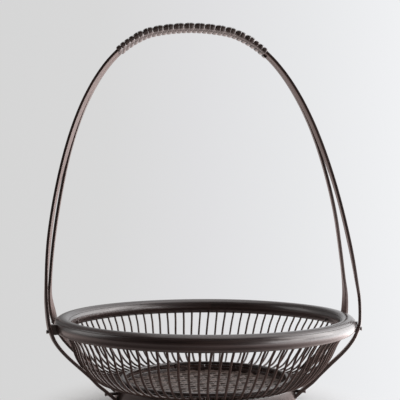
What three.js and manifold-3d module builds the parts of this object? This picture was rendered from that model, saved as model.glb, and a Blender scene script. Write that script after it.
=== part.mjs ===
// A round bamboo basket on a foot ring, with a tall arch handle of two flat strips.
// Ninety round spokes, split three by three from flat slats, stand between the hoops of the rim
// and run down to the floor, where the unsplit roots of the slats are clamped between two hoops.
// Millimetres, +Z up, the foot on the ground plane and the middle of the outline over the origin.
// The arch of the handle lies along X, and its four legs are turned a little round the bowl.

import * as THREE from "three";
import { mergeVertices } from "three/addons/utils/BufferGeometryUtils.js";
import Module from "manifold-3d";

const wasm = await Module();
wasm.setup();

// Fits

const FIT = 0.3; // gap between pieces that touch
const OVERRUN = 2; // how far a cutting solid runs past what it cuts
const HOOP_FACETS = 60;

// Foot and floor

const FOOT_HEIGHT = 22.5;
const FOOT_RADIUS = 90.5;
const FOOT_THICKNESS = 5.3;
const FLOOR_HOOP_THICKNESS = 4.3;
const FLOOR_HOOP_HEIGHT = 3.2; // above the slats
const LEDGE_HOOP_HEIGHT = 11; // below the slats
const LEDGE_DEPTH = 3;
const FLOOR_THICKNESS = 1.3;
const FLOOR_DROP = 2.7; // from the top of the foot ring down to the floor
const BATTEN_WIDTH = 12;
const BATTEN_THICKNESS = 3;

// Slats and spokes

const SLATS = 30;
const SPOKES_PER_SLAT = 3;
const SPOKE_DIAMETER = 2;
const SPOKE_SIDES = 5;
const ROOT_THICKNESS = 2.2;
const ROOT_PROJECTION = 1.3; // of the unsplit root beyond the floor hoop
const ROOT_MARGIN = 0.4; // of the root beside its outer spokes

// Rim

const RIM_RADIUS = 150;
const RIM_WIDTH = 16.8;
const RIM_HEIGHT = 15.6;
const BOWL_DEPTH = 60; // from the middle of the rim down to the top of the foot ring
const RIM_ARC_STEPS = 5;
const CAP_SEAM_RISE = 4.6; // of the seam under the cap hoop, above the middle of the rim
const SLOT_FOOT_OFFSET = -3.6; // of the spokes' slot from the middle of the rim, at the underside
const SLOT_HEAD_OFFSET = -0.9; // the same under the cap hoop
const SCARF_ANGLE = THREE.MathUtils.degToRad(35); // of the skived joint where a hoop's ends meet

// Handle

const STRIP_WIDTH = 12;
const STRIP_THICKNESS = 3.3;
const STRIP_CROWN = 0.5; // the outer face is the rounded skin of the cane
const STRIP_STEPS = 76;
const LEG_ANGLE = THREE.MathUtils.degToRad(14); // of each leg round the rim, from the middle of its pair
const LEG_TURN = THREE.MathUtils.degToRad(4); // of all four legs round the rim, from the plane of the arch
const ARCH_TURN = THREE.MathUtils.degToRad(6.2); // of the foot of the arch, just above the rim
const TURN_SHARE = 0.5; // of the handle's rise, by which the arch has turned back into its plane
const TWIST_SHARE = 0.4; // of the handle's rise, by which the strips lie square to that plane
const LEG_END_INSET = 4.5; // of the slanting end in the foot ring's face, before it is pared to lie on the ring
const LEG_END_HEIGHT = 6.7;
const LEG_SPOKE_GAP = 0.3; // least, between a leg and the spokes behind it
const RIGHT_STANDOFF = 0.65; // of the right legs at the rim, which they spring off
const LEFT_STANDOFF = 4.55;
const REAR_STANDOFF = 2; // of the rear legs at the rim, beyond the front ones
const LEFT_FOOT_STANDOFF = 2; // of the left legs at the foot ring
const HANDLE_RISE = 295; // of the strips' middle at the top, above the middle of the rim
const HANDLE_HALF_SPAN = 154.3; // of the arch just above the rim
const HANDLE_LEAN = 15; // of the arch's top towards -X
const ARCH_HEIGHT_POWER = 1.7; // with 2 here and 0.5 below, the arch is an ellipse
const ARCH_WIDTH_POWER = 0.372; // less is squarer at the shoulders
const LEAN_POWER = 0.7;

// Pegs

const PEG_DIAMETER = 3;
const PEG_HEAD_DIAMETER = 4.2;
const PEG_HEAD_HEIGHT = 1.2;
const PEG_SIDES = 8;
const PEG_PROJECTION = 1.2; // of a rim peg's end inside the rim
const RIM_PEG_DROP = 3; // below the middle of the rim
const RIM_PEG_SEAT = 0.9; // under a rim peg's head, where the strip leans outwards
const FOOT_PEG_HEIGHT = 16.5;
const FOOT_PEG_REACH = 9.2; // of a foot peg's shank out of the foot ring, to the seat of its head in the strip
const FOOT_PEG_DEPTH = 4.6; // into the foot ring

// Wrap

const WRAP_LOOPS = 24;
const WRAP_LENGTH = 162; // along the arch
const WRAP_SHIFT = 2.5; // of the wrap's middle from the top of the arch towards +X
const WRAP_CANE_WIDTH = 6;
const WRAP_CANE_THICKNESS = 0.8;
const WRAP_CLEARANCE = 0.38;
const WRAP_END_STEPS = 4; // in each half-round end of a loop

// Places that follow from the sizes

const RIM_CENTRE_RADIUS = RIM_RADIUS - RIM_WIDTH / 2;
const RIM_LEVEL = FOOT_HEIGHT + BOWL_DEPTH;
const SPOKE_RADIUS = SPOKE_DIAMETER / 2;
const SPOKES = SLATS * SPOKES_PER_SLAT;
const SPOKE_ANGLE = (2 * Math.PI) / SPOKES;
const ROOT_BOTTOM = FOOT_HEIGHT + FIT;
const ROOT_TOP = ROOT_BOTTOM + ROOT_THICKNESS;
const ROOT_MIDDLE = (ROOT_BOTTOM + ROOT_TOP) / 2;
const FLOOR_HOOP_OUTER = FOOT_RADIUS - FOOT_THICKNESS - FIT;
const FLOOR_HOOP_INNER = FLOOR_HOOP_OUTER - FLOOR_HOOP_THICKNESS;
const FLOOR_TOP = FOOT_HEIGHT - FLOOR_DROP;
const FLOOR_BOTTOM = FLOOR_TOP - FLOOR_THICKNESS;
const LEDGE_TOP = FLOOR_BOTTOM - FIT;
const RIM_PEG_LEVEL = RIM_LEVEL - RIM_PEG_DROP;
const LEG_END_RADIUS = FOOT_RADIUS - LEG_END_INSET;
const LEG_RIM_RADIUS = RIM_RADIUS + FIT + STRIP_THICKNESS / 2;
const STRIP_OFFSET = (STRIP_WIDTH + FIT) / 2; // of each strip's middle from the XZ plane at the top

// Finishes

const lacqueredHoop = new THREE.MeshStandardMaterial({ color: 0x2e2a2c, roughness: 0.3, metalness: 0 });
const lacqueredSpoke = new THREE.MeshStandardMaterial({ color: 0x2b2321, roughness: 0.45, metalness: 0 });
const brownStrip = new THREE.MeshStandardMaterial({ color: 0x3a2c2b, roughness: 0.35, metalness: 0 });
const plaitedFloor = new THREE.MeshStandardMaterial({ color: 0x54483f, roughness: 0.6, metalness: 0 });
const blackCane = new THREE.MeshStandardMaterial({ color: 0x1c191b, roughness: 0.3, metalness: 0 });
const darkPeg = new THREE.MeshStandardMaterial({ color: 0x231d1b, roughness: 0.5, metalness: 0 });

// Solids

/** A closed mesh as a solid that can be cut and joined. */
function toSolid(geometry) {
  const bare = geometry.clone();
  bare.deleteAttribute("normal");
  bare.deleteAttribute("uv");
  const merged = mergeVertices(bare, 1e-4);
  const mesh = new wasm.Mesh({
    numProp: 3,
    vertProperties: merged.attributes.position.array,
    triVerts: new Uint32Array(merged.index.array),
  });
  return new wasm.Manifold(mesh);
}

/** A cut or joined solid as a geometry. */
function toGeometry(solid) {
  const mesh = solid.getMesh();
  const geometry = new THREE.BufferGeometry();
  geometry.setAttribute("position", new THREE.BufferAttribute(mesh.vertProperties, 3));
  geometry.setIndex(new THREE.BufferAttribute(mesh.triVerts, 1));
  geometry.computeVertexNormals();
  return geometry;
}

/** A block by its lowest and highest corners. */
function block(low, high) {
  const size = new THREE.Vector3().subVectors(high, low);
  const middle = new THREE.Vector3().addVectors(low, high).multiplyScalar(0.5);
  return new THREE.BoxGeometry(size.x, size.y, size.z).translate(middle.x, middle.y, middle.z);
}

/** A hoop round the Z axis from a closed outline of [radius, height] points, counter-clockwise. */
function hoop(outline) {
  const points = [...outline, outline[0]].map(([radius, height]) => new THREE.Vector2(radius, height));
  return new THREE.LatheGeometry(points, HOOP_FACETS).rotateX(Math.PI / 2);
}

/** A closed skin over rings of points with one count each, with flat ends. */
function skinned(rings) {
  const sides = rings[0].length;
  const positions = rings.flat().flatMap((point) => [point.x, point.y, point.z]);
  const index = [];
  for (let ring = 0; ring < rings.length - 1; ring++) {
    for (let side = 0; side < sides; side++) {
      const a = ring * sides + side;
      const b = ring * sides + ((side + 1) % sides);
      index.push(a, b, a + sides, b, b + sides, a + sides);
    }
  }
  const last = (rings.length - 1) * sides;
  for (let side = 1; side < sides - 1; side++) {
    index.push(0, side + 1, side);
    index.push(last, last + side, last + side + 1);
  }
  const geometry = new THREE.BufferGeometry();
  geometry.setAttribute("position", new THREE.Float32BufferAttribute(positions, 3));
  geometry.setIndex(index);
  geometry.computeVertexNormals();
  return geometry;
}

/** The hoop cut through where its two ends meet, by a skived joint at an angle round the Z axis. */
function scarfed(geometry, radius, level, height, thickness, angle) {
  const reach = thickness / Math.sin(SCARF_ANGLE) + 2 * OVERRUN;
  const saw = new THREE.BoxGeometry(FIT, reach, height + 2 * OVERRUN);
  saw.rotateZ(Math.PI / 2 - SCARF_ANGLE);
  saw.translate(radius, 0, level);
  saw.rotateZ(angle);
  return toGeometry(toSolid(geometry).subtract(toSolid(saw)));
}

/** A round cutter along a radius at one height and angle. */
function radialDrill(diameter, fromRadius, toRadius, level, angle) {
  const length = toRadius - fromRadius;
  const drill = new THREE.CylinderGeometry(diameter / 2, diameter / 2, length, PEG_SIDES);
  drill.rotateZ(Math.PI / 2);
  drill.translate((fromRadius + toRadius) / 2, 0, level);
  return drill.rotateZ(angle);
}

/** A geometry with a list of cutters taken out of it. */
function cutBy(geometry, cutters) {
  let solid = toSolid(geometry);
  for (const cutter of cutters) solid = solid.subtract(toSolid(cutter));
  return toGeometry(solid);
}

// The four legs, by the side that they stand on and the strip that they belong to

const legs = [
  { name: "front_right", side: 1, strip: -1 },
  { name: "rear_right", side: 1, strip: 1 },
  { name: "front_left", side: -1, strip: -1 },
  { name: "rear_left", side: -1, strip: 1 },
].map((leg) => ({ ...leg, angle: legAngle(leg.side, leg.strip), standoff: legStandoff(leg.side, leg.strip) }));

/** A leg's angle round the rim, by its side 1 at +X or -1 at -X, and its strip -1 in front or 1 at the rear. */
function legAngle(side, strip) {
  const pair = side === 1 ? 0 : Math.PI;
  return pair + LEG_TURN + side * strip * LEG_ANGLE;
}

/** How far a leg springs off the rim and off the foot ring. */
function legStandoff(side, strip) {
  const rear = strip === 1 ? REAR_STANDOFF : 0;
  if (side === 1) return { rim: RIGHT_STANDOFF + rear, foot: 0 };
  return { rim: LEFT_STANDOFF + rear, foot: LEFT_FOOT_STANDOFF };
}

/** Radius at which a leg's foot peg has the seat of its head. */
function footPegHead(leg) {
  return FOOT_RADIUS + leg.standoff.foot + FOOT_PEG_REACH;
}

function pegHoles(fromRadius, toRadius, level) {
  const bore = PEG_DIAMETER + 2 * FIT;
  return legs.map((leg) => radialDrill(bore, fromRadius - OVERRUN, toRadius + OVERRUN, level, leg.angle));
}

// Rim: an oval section shared by a cap hoop, an outer hoop and an inner hoop

const rimHalfWidth = RIM_WIDTH / 2;
const rimHalfHeight = RIM_HEIGHT / 2;
const slotSlope = (SLOT_HEAD_OFFSET - SLOT_FOOT_OFFSET) / (CAP_SEAM_RISE + rimHalfHeight);
const slotHalfWidth = (SPOKE_RADIUS + FIT) * Math.hypot(1, slotSlope);

/** A point of the rim's oval at an angle from its outermost point. */
function rimPoint(angle) {
  return [RIM_CENTRE_RADIUS + rimHalfWidth * Math.cos(angle), RIM_LEVEL + rimHalfHeight * Math.sin(angle)];
}

/** Points of the rim's oval from one angle to another. */
function rimArc(from, to, steps) {
  return Array.from({ length: steps + 1 }, (_, i) => rimPoint(from + ((to - from) * i) / steps));
}

/** Offset from the middle of the rim of the slot's centre line at a rise above the middle. */
function slotOffset(rise) {
  return SLOT_FOOT_OFFSET + slotSlope * (rise + rimHalfHeight);
}

/** The oval's angle where a wall of the slot meets its underside. */
function slotAngle(wall) {
  const middle = slotOffset(0) + wall;
  const a = (rimHalfHeight * slotSlope) ** 2 + rimHalfWidth ** 2;
  const b = middle * slotSlope * rimHalfHeight ** 2;
  const c = (middle ** 2 - rimHalfWidth ** 2) * rimHalfHeight ** 2;
  const rise = (-b - Math.sqrt(b ** 2 - a * c)) / a;
  return Math.atan2(rise / rimHalfHeight, (middle + slotSlope * rise) / rimHalfWidth);
}

function rimCapHoop() {
  const seam = Math.asin((CAP_SEAM_RISE + FIT / 2) / rimHalfHeight);
  const outline = rimArc(seam, Math.PI - seam, RIM_ARC_STEPS);
  return scarfed(hoop(outline), RIM_CENTRE_RADIUS, RIM_LEVEL, RIM_HEIGHT, RIM_WIDTH, THREE.MathUtils.degToRad(68));
}

function rimOuterHoop() {
  const rise = CAP_SEAM_RISE - FIT / 2;
  const seam = Math.asin(rise / rimHalfHeight);
  const outline = rimArc(slotAngle(slotHalfWidth), seam, RIM_ARC_STEPS);
  outline.push([RIM_CENTRE_RADIUS + slotOffset(rise) + slotHalfWidth, RIM_LEVEL + rise]);
  const drilled = cutBy(hoop(outline), pegHoles(RIM_CENTRE_RADIUS, RIM_RADIUS, RIM_PEG_LEVEL));
  return scarfed(drilled, RIM_CENTRE_RADIUS, RIM_LEVEL, RIM_HEIGHT, RIM_WIDTH, THREE.MathUtils.degToRad(104));
}

function rimInnerHoop() {
  const rise = CAP_SEAM_RISE - FIT / 2;
  const seam = Math.PI - Math.asin(rise / rimHalfHeight);
  const outline = rimArc(seam, 2 * Math.PI + slotAngle(-slotHalfWidth), RIM_ARC_STEPS);
  outline.push([RIM_CENTRE_RADIUS + slotOffset(rise) - slotHalfWidth, RIM_LEVEL + rise]);
  const drilled = cutBy(hoop(outline), pegHoles(RIM_RADIUS - RIM_WIDTH, RIM_CENTRE_RADIUS, RIM_PEG_LEVEL));
  return scarfed(drilled, RIM_CENTRE_RADIUS, RIM_LEVEL, RIM_HEIGHT, RIM_WIDTH, THREE.MathUtils.degToRad(86));
}

// Slats: a flat root under the floor hoop, split into round spokes that bend up to the rim

// The bowl's side between the foot ring and the rim's underside: shares of the run out and of the rise
const BOWL_SHARES = [
  [0.0, 0.0],
  [0.09, 0.01],
  [0.29, 0.081],
  [0.533, 0.278],
  [0.748, 0.524],
  [0.87, 0.835],
];
const bowlFootRadius = FLOOR_HOOP_OUTER + ROOT_PROJECTION;
const slotFootRadius = RIM_CENTRE_RADIUS + SLOT_FOOT_OFFSET;
const slotFootLevel = RIM_LEVEL - rimHalfHeight;
const spokeTopRise = CAP_SEAM_RISE - FIT / 2 - FIT;

/** The middle line of a spoke as [radius, height] points, from inside the root to under the cap. */
function spokeLine() {
  const run = slotFootRadius - bowlFootRadius;
  const rise = slotFootLevel - ROOT_MIDDLE;
  const side = BOWL_SHARES.map(([out, up]) => [bowlFootRadius + run * out, ROOT_MIDDLE + rise * up]);
  const inRoot = [bowlFootRadius - FLOOR_HOOP_THICKNESS / 2, ROOT_MIDDLE];
  const inSlot = [slotFootRadius, slotFootLevel];
  const top = [RIM_CENTRE_RADIUS + slotOffset(spokeTopRise), RIM_LEVEL + spokeTopRise];
  return [inRoot, ...side.slice(1), inSlot, top];
}

/** One spoke in the XZ plane: rings across its middle line, each in the plane that halves the bend. */
function spoke() {
  const line = spokeLine().map(([radius, height]) => new THREE.Vector3(radius, 0, height));
  const rings = line.map((point, i) => {
    const before = line[Math.max(i - 1, 0)];
    const after = line[Math.min(i + 1, line.length - 1)];
    const along = new THREE.Vector3().subVectors(after, before).normalize();
    const across = new THREE.Vector3(0, 1, 0);
    const up = new THREE.Vector3().crossVectors(along, across);
    return Array.from({ length: SPOKE_SIDES }, (_, side) => {
      const turn = (2 * Math.PI * side) / SPOKE_SIDES;
      return point
        .clone()
        .addScaledVector(up, SPOKE_RADIUS * Math.cos(turn))
        .addScaledVector(across, -SPOKE_RADIUS * Math.sin(turn));
    });
  });
  return skinned(rings);
}

function slat() {
  const halfWidth = bowlFootRadius * Math.sin(SPOKE_ANGLE * ((SPOKES_PER_SLAT - 1) / 2));
  const rootHalfWidth = halfWidth + SPOKE_RADIUS + ROOT_MARGIN;
  const rootStart = FLOOR_HOOP_INNER + FIT;
  const root = block(
    new THREE.Vector3(rootStart, -rootHalfWidth, ROOT_BOTTOM),
    new THREE.Vector3(bowlFootRadius, rootHalfWidth, ROOT_TOP),
  );
  let solid = toSolid(root);
  for (let i = 0; i < SPOKES_PER_SLAT; i++) {
    const turn = (i - (SPOKES_PER_SLAT - 1) / 2) * SPOKE_ANGLE;
    solid = solid.add(toSolid(spoke().rotateZ(turn)));
  }
  return toGeometry(solid);
}

// Floor and foot

function footRing() {
  const inner = FOOT_RADIUS - FOOT_THICKNESS;
  const ring = hoop([[inner, 0], [FOOT_RADIUS, 0], [FOOT_RADIUS, FOOT_HEIGHT], [inner, FOOT_HEIGHT]]);
  const drills = pegHoles(FOOT_RADIUS - FOOT_PEG_DEPTH + OVERRUN - FIT, FOOT_RADIUS, FOOT_PEG_HEIGHT);
  const middle = FOOT_RADIUS - FOOT_THICKNESS / 2;
  const scarf = THREE.MathUtils.degToRad(118);
  return scarfed(cutBy(ring, drills), middle, FOOT_HEIGHT / 2, FOOT_HEIGHT, FOOT_THICKNESS, scarf);
}

function floorHoop() {
  const bottom = ROOT_TOP + FIT;
  const top = bottom + FLOOR_HOOP_HEIGHT;
  const ring = hoop([
    [FLOOR_HOOP_INNER, bottom],
    [FLOOR_HOOP_OUTER, bottom],
    [FLOOR_HOOP_OUTER, top],
    [FLOOR_HOOP_INNER, top],
  ]);
  const middle = (FLOOR_HOOP_INNER + FLOOR_HOOP_OUTER) / 2;
  const scarf = THREE.MathUtils.degToRad(76);
  return scarfed(ring, middle, (bottom + top) / 2, FLOOR_HOOP_HEIGHT, FLOOR_HOOP_THICKNESS, scarf);
}

/** The hoop under the slats, with the ledge that carries the floor and a mortise for each batten's end. */
function ledgeHoop() {
  const bottom = FOOT_HEIGHT - LEDGE_HOOP_HEIGHT;
  const ledgeRadius = FLOOR_HOOP_INNER - LEDGE_DEPTH;
  const ring = hoop([
    [ledgeRadius, bottom],
    [FLOOR_HOOP_OUTER, bottom],
    [FLOOR_HOOP_OUTER, FOOT_HEIGHT],
    [FLOOR_HOOP_INNER, FOOT_HEIGHT],
    [FLOOR_HOOP_INNER, LEDGE_TOP],
    [ledgeRadius, LEDGE_TOP],
  ]);
  const halfWidth = BATTEN_WIDTH / 2 + FIT;
  const reach = FLOOR_HOOP_OUTER + OVERRUN;
  const mortise = block(
    new THREE.Vector3(-reach, -halfWidth, LEDGE_TOP - BATTEN_THICKNESS - FIT),
    new THREE.Vector3(reach, halfWidth, LEDGE_TOP + FIT),
  );
  const drilled = cutBy(ring, battenAngles.map((angle) => mortise.clone().rotateZ(angle)));
  const middle = (ledgeRadius + FLOOR_HOOP_OUTER) / 2;
  const thickness = FLOOR_HOOP_OUTER - ledgeRadius;
  const level = (bottom + FOOT_HEIGHT) / 2;
  return scarfed(drilled, middle, level, LEDGE_HOOP_HEIGHT, thickness, THREE.MathUtils.degToRad(97));
}

const battenAngles = [Math.PI / 4, -Math.PI / 4];

/** A batten from ledge to ledge with half its thickness cut away at the crossing, above or below. */
function batten(angle, notchAbove) {
  const halfLength = FLOOR_HOOP_OUTER - FIT;
  const bottom = LEDGE_TOP - BATTEN_THICKNESS;
  const halfWidth = BATTEN_WIDTH / 2;
  const bar = block(
    new THREE.Vector3(-halfLength, -halfWidth, bottom),
    new THREE.Vector3(halfLength, halfWidth, LEDGE_TOP),
  );
  const middle = bottom + BATTEN_THICKNESS / 2;
  const notchHalf = halfWidth + FIT;
  const low = notchAbove ? middle - FIT / 2 : bottom - OVERRUN;
  const high = notchAbove ? LEDGE_TOP + OVERRUN : middle + FIT / 2;
  const notch = block(
    new THREE.Vector3(-notchHalf, -notchHalf, low),
    new THREE.Vector3(notchHalf, notchHalf, high),
  );
  return cutBy(bar, [notch]).rotateZ(angle);
}

function floorMat() {
  const radius = FLOOR_HOOP_INNER - FIT;
  const disc = new THREE.CylinderGeometry(radius, radius, FLOOR_THICKNESS, HOOP_FACETS);
  return disc.rotateX(Math.PI / 2).translate(0, 0, (FLOOR_TOP + FLOOR_BOTTOM) / 2);
}

// Handle: each strip runs from foot to foot, out round the rim and over the arch

// A leg's side view from its end on the foot ring up to the rim: shares of the run out and of the rise
const LEG_SHARES = [
  [0.0, 0.0],
  [0.198, 0.164],
  [0.302, 0.26],
  [0.4, 0.342],
  [0.499, 0.424],
  [0.595, 0.504],
  [0.69, 0.584],
  [0.778, 0.664],
  [0.853, 0.741],
  [0.931, 0.844],
  [0.967, 0.917],
  [1.0, 1.0],
];
// How far the two strips still stand apart, as shares, at shares of the handle's rise
const SPREAD_SHARES = [
  [0.0, 1.0],
  [0.078, 0.7],
  [0.142, 0.648],
  [0.21, 0.589],
  [0.278, 0.504],
  [0.346, 0.42],
  [0.414, 0.355],
  [0.481, 0.3],
  [0.55, 0.262],
  [0.62, 0.23],
  [0.685, 0.195],
  [0.753, 0.148],
  [0.82, 0.085],
  [0.87, 0.035],
  [0.9, 0.012],
  [0.925, 0.002],
  [0.945, 0.0],
  [0.965, 0.0],
  [0.985, 0.0],
  [1.0, 0.0],
];

/** Half the width of the arch at a share of its rise. */
function archHalfSpan(share) {
  return HANDLE_HALF_SPAN * (1 - share ** ARCH_HEIGHT_POWER) ** ARCH_WIDTH_POWER;
}

/** The shift of the arch's middle at a share of its rise. */
function archLean(share) {
  return -HANDLE_LEAN * share ** LEAN_POWER;
}

/** What is left of a turn at a share of the handle's rise, when it has gone at another share. */
function fading(turn, share, goneShare) {
  return turn * THREE.MathUtils.smoothstep(goneShare - share, 0, goneShare);
}

/** Least radius of a leg's middle line at a level between the spokes' roots and the rim, to clear the spokes. */
function leastLegRadius(level) {
  const line = spokeLine();
  const after = line.findIndex(([, height]) => height > level);
  const [lowRadius, low] = line[after - 1];
  const [highRadius, high] = line[after];
  const slope = (highRadius - lowRadius) / (high - low);
  const away = SPOKE_RADIUS + LEG_SPOKE_GAP + STRIP_THICKNESS / 2;
  return lowRadius + slope * (level - low) + away * Math.hypot(1, slope);
}

/** Radius of a leg's middle line at shares of its run out and of its rise. */
function legRadius(standoff, out, up) {
  const start = LEG_END_RADIUS + standoff.foot;
  const radius = start + (LEG_RIM_RADIUS + standoff.rim - start) * out;
  const level = LEG_END_HEIGHT + (RIM_LEVEL - LEG_END_HEIGHT) * up;
  if (level < ROOT_TOP || level > slotFootLevel) return radius;
  return Math.max(radius, leastLegRadius(level));
}

/** Knots of one half of a strip, side 1 at +X or -1 at -X, from the foot up to just before the top. */
function halfStripKnots(side, strip) {
  const rise = RIM_LEVEL - LEG_END_HEIGHT;
  const standoff = legStandoff(side, strip);
  const splay = side * strip * LEG_ANGLE;
  const zAxis = new THREE.Vector3(0, 0, 1);
  const lower = LEG_SHARES.map(([out, up]) => {
    const point = new THREE.Vector3(side * legRadius(standoff, out, up), 0, LEG_END_HEIGHT + rise * up);
    return { point: point.applyAxisAngle(zAxis, splay + LEG_TURN), turn: -splay - LEG_TURN };
  });
  const rimOffset = LEG_RIM_RADIUS * Math.sin(LEG_ANGLE);
  const upper = SPREAD_SHARES.slice(1, -1).map(([height, spread]) => {
    const across = side * archHalfSpan(height) + archLean(height);
    const apart = strip * (STRIP_OFFSET + (rimOffset - STRIP_OFFSET) * spread);
    const point = new THREE.Vector3(across, apart, RIM_LEVEL + HANDLE_RISE * height);
    return {
      point: point.applyAxisAngle(zAxis, fading(ARCH_TURN, height, TURN_SHARE)),
      turn: -fading(splay + LEG_TURN, height, TWIST_SHARE),
    };
  });
  return [...lower, ...upper];
}

/** All knots of a strip, strip -1 in front or 1 at the rear, or 0 for the middle line of the handle. */
function stripKnots(strip) {
  const top = {
    point: new THREE.Vector3(archLean(1), strip * STRIP_OFFSET, RIM_LEVEL + HANDLE_RISE),
    turn: 0,
  };
  return [...halfStripKnots(1, strip), top, ...halfStripKnots(-1, strip).reverse()];
}

/** The direction out of the arch, square to the way along and to the way across. */
function frameAt(along, turn) {
  const across = new THREE.Vector3(Math.sin(turn), Math.cos(turn), 0);
  across.addScaledVector(along, -across.dot(along)).normalize();
  const out = new THREE.Vector3().crossVectors(across, along).normalize();
  return { across, out };
}

function handleStrip(strip) {
  const knots = stripKnots(strip);
  const curve = new THREE.CatmullRomCurve3(knots.map((knot) => knot.point), false, "centripetal");
  const turns = new THREE.CatmullRomCurve3(
    knots.map((knot, i) => new THREE.Vector3(knot.turn, i, 0)),
    false,
    "catmullrom",
  );
  const half = STRIP_WIDTH / 2;
  const face = STRIP_THICKNESS / 2;
  const section = [
    [-half, -face],
    [-half, face - STRIP_CROWN],
    [0, face],
    [half, face - STRIP_CROWN],
    [half, -face],
  ];
  const rings = Array.from({ length: STRIP_STEPS + 1 }, (_, i) => {
    const share = i / STRIP_STEPS;
    const point = curve.getPointAt(share);
    const turn = turns.getPoint(curve.getUtoTmapping(share)).x;
    const { across, out } = frameAt(curve.getTangentAt(share), turn);
    return section.map(([w, t]) => point.clone().addScaledVector(across, w).addScaledVector(out, t));
  });
  const rimReach = LEFT_STANDOFF + REAR_STANDOFF + STRIP_THICKNESS + OVERRUN;
  const footReach = LEFT_FOOT_STANDOFF + FOOT_PEG_REACH;
  const paringRadius = FOOT_RADIUS + FIT;
  const paring = new THREE.CylinderGeometry(paringRadius, paringRadius, FOOT_HEIGHT, HOOP_FACETS);
  const headBore = PEG_HEAD_DIAMETER + 2 * FIT;
  const headSeats = legs.map((leg) =>
    radialDrill(headBore, footPegHead(leg) - FIT, footPegHead(leg) + STRIP_THICKNESS, FOOT_PEG_HEIGHT, leg.angle),
  );
  return cutBy(skinned(rings), [
    paring.rotateX(Math.PI / 2).translate(0, 0, FOOT_HEIGHT / 2),
    ...pegHoles(RIM_RADIUS, RIM_RADIUS + rimReach, RIM_PEG_LEVEL),
    ...pegHoles(FOOT_RADIUS, FOOT_RADIUS + footReach, FOOT_PEG_HEIGHT),
    ...headSeats,
  ]);
}

/** A turned peg with a low domed head, its axis along a radius and its head outside. */
function peg(headRadius, tipRadius, level, angle) {
  const shank = PEG_DIAMETER / 2;
  const head = PEG_HEAD_DIAMETER / 2;
  const length = headRadius - tipRadius;
  const outline = [
    [0, 0],
    [shank, 0],
    [shank, length],
    [head, length],
    [head * 0.8, length + PEG_HEAD_HEIGHT * 0.7],
    [0, length + PEG_HEAD_HEIGHT],
  ];
  const points = outline.map(([radius, height]) => new THREE.Vector2(radius, height));
  const turned = new THREE.LatheGeometry(points, PEG_SIDES);
  return turned.rotateZ(-Math.PI / 2).translate(tipRadius, 0, level).rotateZ(angle);
}

// Wrap: one unbroken cane wound round both strips at the top of the arch

/** Points round one loop of the wrap, as offsets across and out, with the direction away from the core. */
function wrapLoop() {
  const end = STRIP_OFFSET + STRIP_WIDTH / 2;
  const radius = STRIP_THICKNESS / 2 + WRAP_CLEARANCE + WRAP_CANE_THICKNESS / 2;
  const loop = [{ across: 0, out: -radius, awayAcross: 0, awayOut: -1 }];
  for (const side of [1, -1]) {
    for (let i = 0; i <= WRAP_END_STEPS; i++) {
      const turn = side * (-Math.PI / 2 + (Math.PI * i) / WRAP_END_STEPS);
      const awayAcross = side * Math.cos(turn);
      const awayOut = Math.sin(turn);
      loop.push({ across: side * end + radius * awayAcross, out: radius * awayOut, awayAcross, awayOut });
    }
    if (side === 1) loop.push({ across: 0, out: radius, awayAcross: 0, awayOut: 1 });
  }
  return loop;
}

/** How far round the loop each of its points lies, as a share of its length. */
function loopShares(loop) {
  const lengths = loop.map((point, i) => {
    const next = loop[(i + 1) % loop.length];
    return Math.hypot(next.across - point.across, next.out - point.out);
  });
  const total = lengths.reduce((sum, length) => sum + length, 0);
  let reached = 0;
  return lengths.map((length) => {
    const share = reached / total;
    reached += length;
    return share;
  });
}

/** The stations of the whole winding: loop after loop, with the way along the arch gained on the way. */
function wrapStations() {
  const loop = wrapLoop();
  const shares = loopShares(loop);
  const pitch = WRAP_LENGTH / WRAP_LOOPS;
  const start = -WRAP_LENGTH / 2 - WRAP_SHIFT;
  const stations = [];
  for (let turn = 0; turn < WRAP_LOOPS; turn++) {
    loop.forEach((point, i) => stations.push({ ...point, along: start + (turn + shares[i]) * pitch }));
  }
  stations.push({ ...loop[0], along: start + WRAP_LENGTH });
  return stations;
}

function handleWrap() {
  const knots = stripKnots(0);
  const curve = new THREE.CatmullRomCurve3(knots.map((knot) => knot.point), false, "centripetal");
  curve.arcLengthDivisions = STRIP_STEPS * WRAP_LOOPS;
  const length = curve.getLength();
  const apex = new THREE.Vector3(archLean(1), 0, RIM_LEVEL + HANDLE_RISE);
  const divisions = curve.arcLengthDivisions;
  const apexShare = Array.from({ length: divisions }, (_, i) => i / divisions).reduce((best, share) =>
    curve.getPointAt(share).distanceTo(apex) < curve.getPointAt(best).distanceTo(apex) ? share : best,
  );
  const halfWidth = WRAP_CANE_WIDTH / 2;
  const halfThickness = WRAP_CANE_THICKNESS / 2;
  const section = [
    [-halfWidth, 0],
    [-halfWidth * 0.7, halfThickness],
    [halfWidth * 0.7, halfThickness],
    [halfWidth, 0],
    [0, -halfThickness],
  ];
  const rings = wrapStations().map((station) => {
    const share = apexShare + station.along / length;
    const along = curve.getTangentAt(share);
    const { across, out } = frameAt(along, 0);
    const point = curve
      .getPointAt(share)
      .addScaledVector(across, station.across)
      .addScaledVector(out, station.out);
    const away = new THREE.Vector3()
      .addScaledVector(across, station.awayAcross)
      .addScaledVector(out, station.awayOut);
    return section.map(([w, t]) => point.clone().addScaledVector(along, w).addScaledVector(away, t));
  });
  return { geometry: skinned(rings), rings, pointsPerLoop: wrapLoop().length };
}

/** The least distance between points of the winding that lie a loop or more apart. */
function leastSelfGap(rings, pointsPerLoop) {
  let least = Infinity;
  for (let i = 0; i < rings.length; i++) {
    for (let j = i + pointsPerLoop - 1; j < rings.length; j++) {
      for (const a of rings[i]) for (const b of rings[j]) least = Math.min(least, a.distanceTo(b));
    }
  }
  return least;
}

// The assembly

const basket = new THREE.Group();
basket.name = "bamboo_basket";

/** Adds a named mesh to a group. */
function place(group, name, geometry, material) {
  const mesh = new THREE.Mesh(geometry, material);
  mesh.name = name;
  group.add(mesh);
  return mesh;
}

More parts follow.
